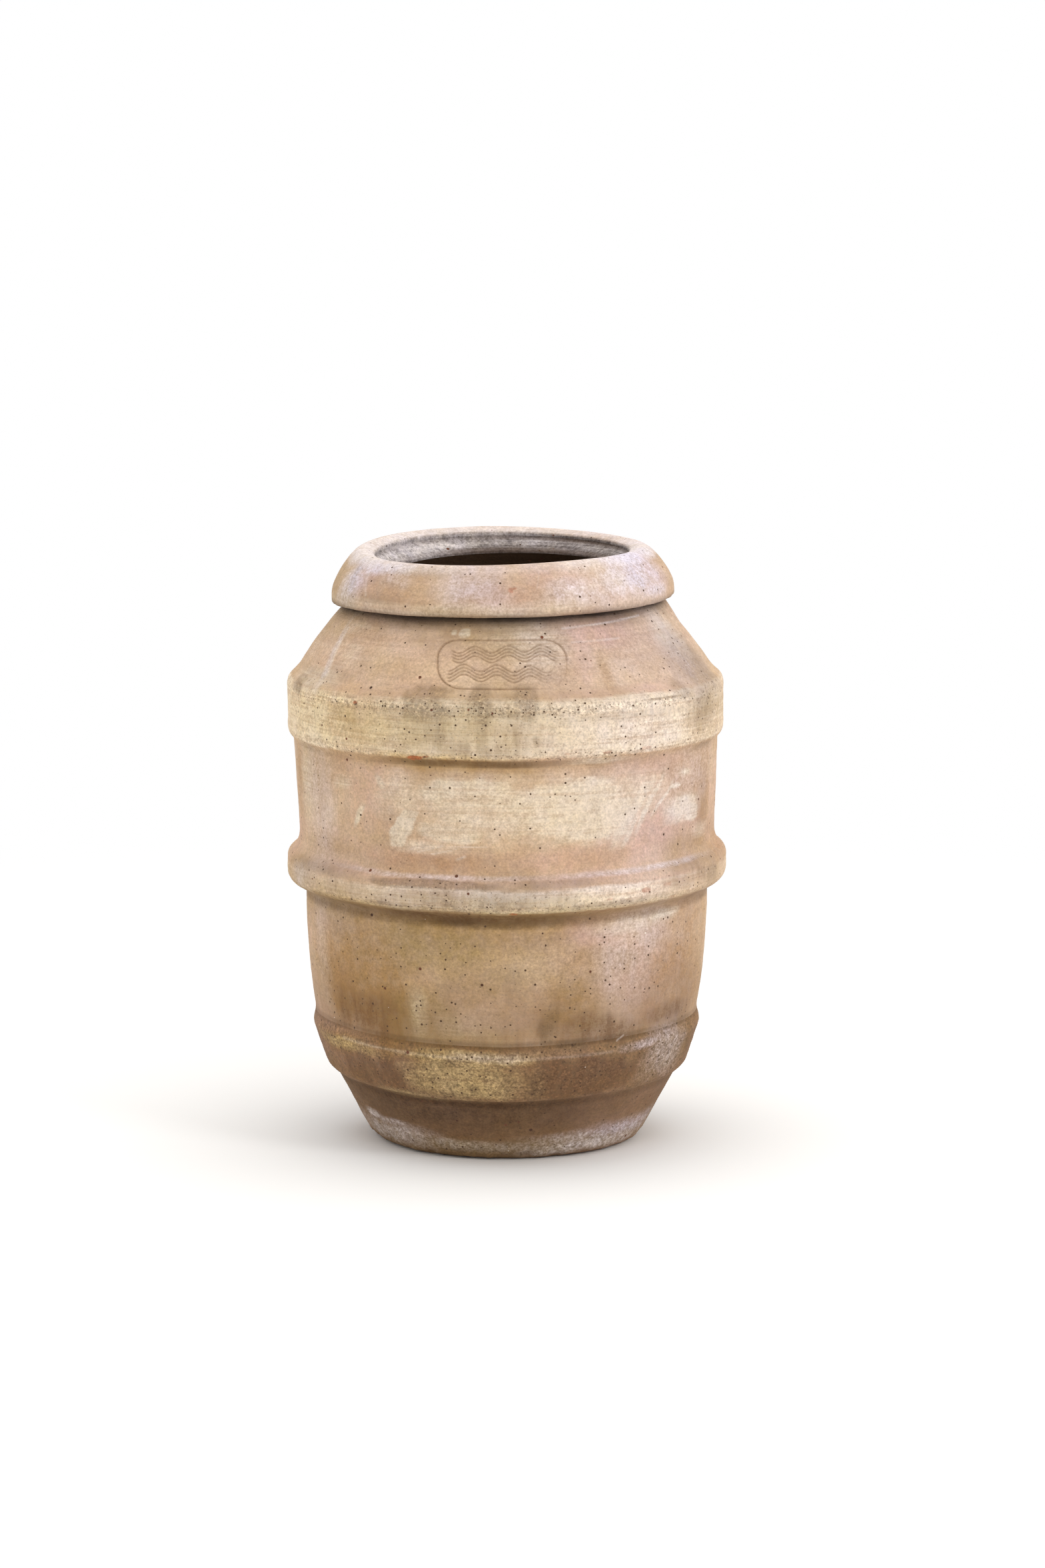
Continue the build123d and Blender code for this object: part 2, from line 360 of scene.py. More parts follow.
# %% [markdown]
# ## Where the pieces end
# Behind the bands the walls meet at bevelled seams that nobody sees. A piece's outline is closed
# through those hidden points and along the inside of the jar. The hidden faces are set a few
# millimetres into the wall, so that two skins never cross where a band tapers out.

# %% Close each piece's outline
SET_IN = 3.0  # mm that the hidden seat of a band lies inside the wall
SEAM_BEVEL = 8.0
COIL_WIDTH = 26.0
COLLAR_THICKNESS = 30.0


def moved_in(line, distance):
    """A line moved to its left by a distance, with mitred corners."""
    way = np.diff(line, axis=0)
    way /= np.linalg.norm(way, axis=1)[:, None]
    mitre = np.vstack((way[:1], way)) + np.vstack((way, way[-1:]))
    mitre /= np.linalg.norm(mitre, axis=1)[:, None]
    reach = distance / (mitre * np.vstack((way, way[-1:]))).sum(axis=1)
    return line + np.column_stack((-mitre[:, 1], mitre[:, 0])) * reach[:, None]


inner_line = moved_in(wall_line, WALL_THICKNESS)
inner_neck = inner_line[-1]
collar_share = (shoulder_top - inner_neck[1]) / (throat_bottom - inner_neck[1])
collar_foot = (inner_neck[0] + (throat_radius - inner_neck[0]) * collar_share, shoulder_top)


def inside(height):
    """A point on the inside of the wall."""
    return float(np.interp(height, inner_line[:, 1], inner_line[:, 0])), height


def seat(height):
    """A point on the hidden seat of a band."""
    return on_wall(height, -SET_IN)


def down_inside(top, bottom):
    """Points down the inside of the wall between two heights, corners included."""
    levels = [h for h in inner_line[:, 1] if bottom < h < top]
    return [inside(h) for h in sorted([top, bottom, *levels], reverse=True)]


lower_seam = (foot_top + lower_band_top) / 2
middle_seam = (lower_belly_top + middle_band_top) / 2
coil_corner = inside(floor_top)
coil_high = inside(floor_top + COIL_WIDTH)
coil_low = (coil_corner[0] - COIL_WIDTH, floor_top)
neck_seat = (wall_radius(shoulder_top) - SET_IN, shoulder_top)
collar_outer = (throat_radius + COLLAR_THICKNESS, throat_bottom)
throat_end = (throat_radius, throat_bottom)

# node: first corner of its skin, last corner, hidden points after it, then points inside the jar
outlines = {
    "floor_slab": ("floor_middle", "floor_seam", [], [inside(floor_top), (4, floor_top)]),
    "floor_seam_coil": (None, None, [coil_low, coil_corner], [coil_high, coil_low]),
    "foot_wall": (
        "floor_seam",
        "foot_edge",
        [seat(foot_top + SET_IN), seat(lower_seam)],
        down_inside(lower_seam - SEAM_BEVEL, floor_top),
    ),
    "lower_band": (
        "foot_edge",
        "lower_belly_foot",
        [seat(lower_band_top - SET_IN), seat(foot_top + SET_IN)],
        [],
    ),
    "lower_belly_wall": (
        "lower_belly_foot",
        "lower_belly_head",
        [seat(lower_belly_top + SET_IN), seat(middle_seam)],
        down_inside(middle_seam - SEAM_BEVEL, lower_seam - SEAM_BEVEL),
        [seat(lower_seam), seat(lower_band_top - SET_IN)],
    ),
    "middle_band": (
        "lower_belly_head",
        "upper_belly_foot",
        [seat(middle_band_top - SET_IN), seat(lower_belly_top + SET_IN)],
        [],
    ),
    "upper_belly_wall": (
        "upper_belly_foot",
        "upper_belly_head",
        [seat(upper_belly_top + SET_IN), seat(turn_height)],
        down_inside(turn_height - SEAM_BEVEL, middle_seam - SEAM_BEVEL),
        [seat(middle_seam), seat(middle_band_top - SET_IN)],
    ),
    "upper_band": (
        "upper_belly_head",
        "shoulder_foot",
        [seat(upper_band_top - SET_IN), seat(turn_height), seat(upper_belly_top + SET_IN)],
        [],
    ),
    "shoulder_wall": (
        "shoulder_foot",
        "neck",
        [neck_seat],
        [collar_foot, *down_inside(inner_neck[1], turn_height - SEAM_BEVEL)],
        [seat(turn_height), seat(upper_band_top - SET_IN)],
    ),
    "neck_collar": (None, None, [neck_seat, collar_outer], [throat_end, collar_foot]),
    "rim_roll": ("neck", "throat_bottom", [collar_outer, neck_seat], []),
}
print("pieces:", len(outlines))

# %% [markdown]
# ## Noise without pictures
# Nothing made by hand is even, so most of what follows leans on noise. Each point of space falls
# in a cell of a lattice, each corner of the cell has its own fixed random number, and blending
# the eight numbers gives smooth lumps. The seed makes it the same on every run, and a different
# size along each axis stretches the lumps into streaks.

# %% Seeded noise
CELL_PRIMES = [73856093, 19349663, 83492791]  # large primes that scatter neighbouring cells
SEED_PRIME, MIX_PRIME = 2971215073, 1274126177
WORD = 2**32


def scattered(x, y, z, seed):
    """A fixed random number from 0 to 1 for each lattice corner."""
    mixed = x * np.uint32(CELL_PRIMES[0])
    mixed ^= y * np.uint32(CELL_PRIMES[1])
    mixed ^= z * np.uint32(CELL_PRIMES[2])
    mixed ^= np.uint32(seed * SEED_PRIME % WORD)
    mixed ^= mixed >> np.uint32(13)
    mixed *= np.uint32(MIX_PRIME)
    mixed ^= mixed >> np.uint32(16)
    return mixed / WORD


def noise(points, size, seed):
    """Smooth noise from -1 to 1 with lumps of a size in mm, one size or one for each axis."""
    scaled = points / np.broadcast_to(size, 3)
    cell = np.floor(scaled)
    ease = scaled - cell
    ease = ease * ease * (3 - 2 * ease)
    x, y, z = (cell[..., i].astype(np.int64).astype(np.uint32) for i in range(3))
    total = 0
    for i, j, k in np.ndindex(2, 2, 2):
        weight = ease[..., 0] if i else 1 - ease[..., 0]
        weight = weight * (ease[..., 1] if j else 1 - ease[..., 1])
        weight = weight * (ease[..., 2] if k else 1 - ease[..., 2])
        total = total + weight * scattered(
            x + np.uint32(i), y + np.uint32(j), z + np.uint32(k), seed
        )
    return 2 * total - 1


def layered_noise(points, size, seed, layers=3):
    """Noise with finer and fainter noise on top of it."""
    size = np.asarray(size, float)
    return sum(noise(points, size / 2**i, seed + i) / 2**i for i in range(layers))


def smooth(value, low, high):
    """0 below low, 1 above high, and an even S between them."""
    share = np.clip((value - low) / (high - low), 0, 1)
    return share * share * (3 - 2 * share)


# %% [markdown]
# ## The jar leans a little
# A jar of this size is built without a mould, and it sags and leans as it dries. The rim here is
# higher at the back and on the right than at the front left, the plan is slightly oval, and the
# axis wanders by a few millimetres. The straps over the seams were laid by eye, so each one rides
# up and down on its way round. All of this is one function of place, used by every piece, so
# that no seam opens.

# %% Lean and sag
LEAN_RUN = 34.0  # mm below the lip over which the lean begins, so the shoulder stays level
OVAL, OVAL_TURN, OVAL_TWIST = 1.3, 0.9, 400.0  # mm on the radius, radians, mm for a radian
AXIS_HEIGHTS = [0, 172, 411, 640, 740, 800]
AXIS_DRIFT = [0.3, 1.2, 1.8, 0.0, -3.5, -4.2]  # mm to the right at those heights

# how far a seam wanders up or down, in mm, at each of these angles, by the height of the seam
WANDER_ANGLES = [-180, -90, -60, -30, 0, 30, 60, 90, 180]
SEAM_WANDER = {
    0: [0] * 9,
    98: [0, 0, -1, -4, -6.5, -3.5, -1, 0, 0],
    170: [0, 2, 2, -2, -4, -0.5, 3, 4, 0],
    355: [0, 1, 2.5, 1, -1, 2.5, 4.5, 6, 0],
    395: [0, -1, -1, -2, -1, 0.5, 3, 4, 0],
    548: [0, 0, 0.5, 0.5, 0, 2, 2, 3, 0],
    640: [0] * 9,
}

# how far the rim stands above its true height, in mm: the mean, then what goes with the cosine
# and the sine of the angle, then what goes with those of twice the angle
LIP_RISE = (5.4, -3.4, 5.7, 0.5, -1.5)
CREST_RISE = (-0.2, -7.0, 1.7, 1.1, 2.0)


def turned_by(angle, middle):
    """The angle in degrees from a middle, from -180 to 180."""
    return (angle - middle + 180) % 360 - 180


def seam_wander(angle, height):
    """How far a point rides up or down with the seams near it. angle is in degrees."""
    levels = list(SEAM_WANDER)
    rise = 0
    for i, wander in enumerate(SEAM_WANDER.values()):
        nearby = np.interp(height, levels, [float(i == j) for j in range(len(levels))])
        rise = rise + nearby * np.interp(turned_by(angle, 0), WANDER_ANGLES, wander)
    return rise


def rim_rise(angle, parts):
    """How far the lip or the crest stands above its true height. angle is in radians."""
    mean, cos_once, sin_once, cos_twice, sin_twice = parts
    once = cos_once * np.cos(angle) + sin_once * np.sin(angle)
    return mean + once + cos_twice * np.cos(2 * angle) + sin_twice * np.sin(2 * angle)


def settled(radius, height, angle):
    """Where a point of the true profile lies on the leaning jar. angle is in radians."""
    lift = smooth(height, lip_height - LEAN_RUN, lip_height)
    up_rim = np.clip((height - lip_height) / (crest - lip_height), 0, 1)
    rise = (1 - up_rim) * rim_rise(angle, LIP_RISE) + up_rim * rim_rise(angle, CREST_RISE)
    oval_angle = 2 * angle - OVAL_TURN + height / OVAL_TWIST
    oval = OVAL * smooth(radius, 0, base_radius) * np.cos(oval_angle)
    x = (radius + oval) * np.sin(angle) + np.interp(height, AXIS_HEIGHTS, AXIS_DRIFT)
    y = -(radius + oval) * np.cos(angle)
    wander = seam_wander(np.degrees(angle), height)
    return np.stack((x, y, height + lift * rise + wander), axis=-1)


quarters = np.radians([0, 90, 180, 270])
print("crest rise at front, right, back, left, mm:", rim_rise(quarters, CREST_RISE).round(1))

# %% [markdown]
# ## Angles
# Points round the jar are closer together on the side that faces the camera, and closest over
# the pattern on the shoulder, where a groove is only 2 mm wide. The front is at 0 degrees, and
# angles grow to the right.

# %% Columns of points


def columns(*stops):
    """Angles in degrees round the jar, from pairs of a start and a step. The last ends the turn."""
    angles = []
    for (start, step), (end, _) in zip(stops, stops[1:]):
        angles.append(np.linspace(start, end, ceil((end - start) / step), endpoint=False))
    return np.concatenate(angles)


wall_columns = columns((-80, 0.40), (80, 0.65), (280, 0))
shoulder_columns = columns((-80, 0.46), (-22, 0.20), (22, 0.46), (80, 0.80), (280, 0))
inner_columns = columns((-180, 1.0), (180, 0))
print("columns:", len(wall_columns), "and on the shoulder", len(shoulder_columns))

# %% [markdown]
# ## Marks in the clay
# These are real dents in the mesh, because light catches them from every side. Broad lumps come
# from beating and coiling. Fine level lines come from the wet rag that smoothed each band. Chips
# sit where an edge was knocked, and the larger pits are where a stone burst out in the kiln.

# %% Lumps, wiping lines, chips and pits
PATCH_RADIUS = 280.0  # mm, turns an angle into a distance round the jar
ROUNDED = 2.6  # 2 draws a patch as a true oval, and more makes it squarer

# angle in degrees, height, half width, half height and depth in mm, and how red the clay shows
chips = [
    (-23.5, 551, 9, 3, 2.4, 0.9), (-20.5, 553, 4.5, 2, 1.6, 0.7), (-41.5, 617, 3.5, 2, 1.4, 0.9),
    (27, 556, 7, 2.4, 1.5, 0.5), (39, 557, 9, 2.2, 1.2, 0.35), (16, 557, 4, 2, 1, 0.35),
    (38, 370, 7, 3.4, 1, 0.6), (45, 373, 7, 2.6, 0.8, 0.4), (27, 364, 5, 1.8, 0.9, 0.4),
    (2, 351, 6, 1.8, 1.8, 0.7), (48, 354, 7, 2, 1.2, 0.3), (16.5, 757, 3.6, 1.7, 1.6, 0),
    (3, 766, 4.5, 3, 0.8, 0.5), (4.5, 769, 3, 1.6, 0.8, 0.6), (10, 9, 18, 6, 2.4, 0.1),
    (-56, 14, 12, 6, 2.2, 0), (22, 4, 14, 4, 2, 0.1), (-33, 6, 12, 4, 1.8, 0),
    (134, 552, 12, 4, 2.4, 1), (171, 356, 11, 4, 2.2, 0.8), (228, 618, 8, 3, 1.8, 0.6),
    (150, 735, 9, 4, 2, 0.7), (252, 353, 9, 3, 1.8, 0.7), (205, 8, 16, 6, 2.4, 0.1),
    (120, 100, 12, 4, 2, 0.3), (262, 555, 9, 3, 1.8, 0.6),
]

# angle, height and radius of the larger pits
pits = [
    (11.5, 487, 2.6), (53, 453, 2.6), (-70, 467, 2.4), (0.3, 459, 1.8), (-41, 491, 2.2),
    (9.5, 248, 2.6), (-22, 307, 2.2), (-22.5, 217, 1.8), (-7.5, 568, 3), (-15, 568, 2.6),
    (-3, 585, 2.2), (7.5, 576, 2.6), (32, 589, 2.4), (2.5, 614, 3.4), (-9, 612, 3),
    (-15.5, 615, 2.2), (33.5, 663, 2.8), (-33, 656, 2.2), (38, 768, 2.6), (-27.5, 366, 2.4),
    (-54, 22, 4), (-59, 31, 3.6), (130, 300, 2.8), (160, 480, 2.8), (190, 240, 2.8),
    (215, 590, 3), (240, 430, 2.6), (255, 660, 2.8), (100, 580, 2.8), (112, 520, 2.4),
]

# from which corner to which a band's face runs, and how many mm are worn off each corner
BAND_FACES = [
    ("lower_band_under", "lower_band_shoulder"),
    ("middle_band_under", "upper_belly_foot"),
    ("upper_band_under", "upper_band_shoulder"),
]
WORN_EDGES = {
    "lower_band_under": 0.8,
    "lower_band_shoulder": 0.7,
    "middle_band_under": 0.7,
    "upper_band_under": 0.9,
    "upper_band_shoulder": 0.8,
    "rim_lip": 0.6,
}
WORN_REACH = 4.5  # mm to each side of a corner


def oval_distance(angle, height, place, half_wide, half_high, lean=0.0):
    """How far out in a rounded patch a point is: 0 in its middle and 1 on its edge."""
    up = height - place[1]
    across = np.radians(turned_by(angle, place[0])) * PATCH_RADIUS - lean * up
    return (abs(across / half_wide) ** ROUNDED + abs(up / half_high) ** ROUNDED) ** (1 / ROUNDED)


def chip_depth(angle, height, points):
    """How deep the chips and pits cut, and where they lay the red clay bare."""
    ragged = 0.35 * noise(points, 4.0, 31) + 0.25 * noise(points, 1.9, 32)
    depth, bare = np.zeros(angle.shape), np.zeros(angle.shape)
    for turn, up, half_wide, half_high, deep, red in chips:
        out = oval_distance(angle, height, (turn, up), half_wide, half_high) + ragged
        depth = np.maximum(depth, deep * smooth(out, 1.15, 0.35))
        bare = np.maximum(bare, red * smooth(out, 1.2, 0.8))
    for turn, up, radius in pits:
        out = oval_distance(angle, height, (turn, up), radius, radius) + 0.4 * ragged
        depth = np.maximum(depth, 0.5 * radius * smooth(out, 1.2, 0.2))
    return depth, bare


def near_corner(run, name):
    """1 on a corner of the profile, falling to 0 on each side."""
    return np.exp(-(((run - corner_run[name]) / WORN_REACH) ** 2))


def clay_marks(angle, height, run, points):
    """How far the skin stands out from the true profile, in mm, and the bare-clay mask."""
    # each term is a depth in mm times noise with lumps of a size in mm
    along_skin = np.stack((points[..., 0], points[..., 1], run), axis=-1)
    lumps = 0.55 * noise(points, 90, 1) + 0.30 * noise(points, 34, 2)
    coils = 0.30 * noise(along_skin, (420, 420, 21), 3)
    wiping = 0.13 * noise(along_skin, (150, 150, 6.5), 4) + 0.07 * noise(along_skin, (90, 90, 3), 5)
    on_band = sum(
        smooth(run, corner_run[low] - 3, corner_run[low] + 3)
        * smooth(run, corner_run[high] + 3, corner_run[high] - 3)
        for low, high in BAND_FACES
    )
    wear = 0.5 + 0.5 * layered_noise(points, 16, 6)
    worn_edges = sum(deep * near_corner(run, name) for name, deep in WORN_EDGES.items())
    ground = smooth(height, 24, 2) * smooth(run, base_radius * 0.9, base_radius)
    broken_foot = ground * (1.3 * layered_noise(points, 22, 7) + 0.9 * layered_noise(points, 7, 8))
    in_throat = smooth(run, corner_run["mouth"] - 4, corner_run["throat_top"])
    lime_crust = in_throat * (0.5 * layered_noise(points, 11, 9) + 0.3 * noise(points, 4, 10))
    depth, bare = chip_depth(angle, height, points)
    out = lumps + coils + wiping * (1 + 1.3 * on_band)
    out = out - worn_edges * np.clip(wear, 0, 1) ** 2 + broken_foot + lime_crust - depth
    return out, bare


# %% [markdown]
# ## The combed panel
# A potter often marks the shoulder while the clay is soft. This panel is a round-ended frame
# drawn with a stick, and in it two waves drawn with a four-toothed comb. A tooth leaves a groove
# about 2 mm wide. The grooves are cut into the mesh and fade where the hand lifted.

# %% Cut the panel into the shoulder
PANEL_ANGLE, PANEL_HEIGHT = -0.5, 672.0
PANEL_HALF_WIDE, PANEL_HALF_HIGH, PANEL_CORNER = 85.0, 36.0, 30.0
GROOVE = 1.25  # mm from the middle of a groove to its bank
TOOTH_GAP = 4.8
WAVE_LENGTH, WAVE_HEIGHT = 43.0, 5.0
WAVES = [(15.0, 0.4, -1.0), (-14.0, 2.6, 1.0)]  # mm up from the middle, phase, side of its start
SWAY_LENGTH, SWAY_HEIGHT = 31.0, 1.2  # the slow wander of the hand
COMB_REACH = 72.0
PANEL_DEPTH = 1.8

to_neck = slice(corner_row["neck"])
panel_run = float(np.interp(PANEL_HEIGHT, skin_line[to_neck, 1], skin_run[to_neck]))
print(f"panel: {panel_run:.0f} mm along the profile")


def panel_cut(angle, run, radius):
    """The depth of the panel's grooves from 0 to 1."""
    across = np.radians(angle - PANEL_ANGLE) * radius
    up = run - panel_run
    corner_x = np.maximum(abs(across) - PANEL_HALF_WIDE + PANEL_CORNER, 0)
    corner_y = np.maximum(abs(up) - PANEL_HALF_HIGH + PANEL_CORNER, 0)
    inner = np.minimum(np.maximum(abs(across) - PANEL_HALF_WIDE, abs(up) - PANEL_HALF_HIGH), 0)
    edge = np.hypot(corner_x, corner_y) - PANEL_CORNER
    edge = np.where((corner_x > 0) | (corner_y > 0), edge, inner)
    cut = np.exp(-((edge / GROOVE) ** 2))
    for middle, phase, start in WAVES:
        sway = SWAY_HEIGHT * np.sin(across / SWAY_LENGTH + phase)
        wave = middle + sway + WAVE_HEIGHT * np.sin(2 * np.pi * across / WAVE_LENGTH + phase)
        reach = smooth(abs(across + 3 * start), COMB_REACH, COMB_REACH - 6)
        for tooth in (-1.5, -0.5, 0.5, 1.5):
            off = up - wave - tooth * TOOTH_GAP
            cut = np.maximum(cut, 0.85 * reach * np.exp(-((off / GROOVE) ** 2)))
    faded = 1 - 0.75 * smooth(across - 1.2 * up, 55, 110)
    return cut * faded
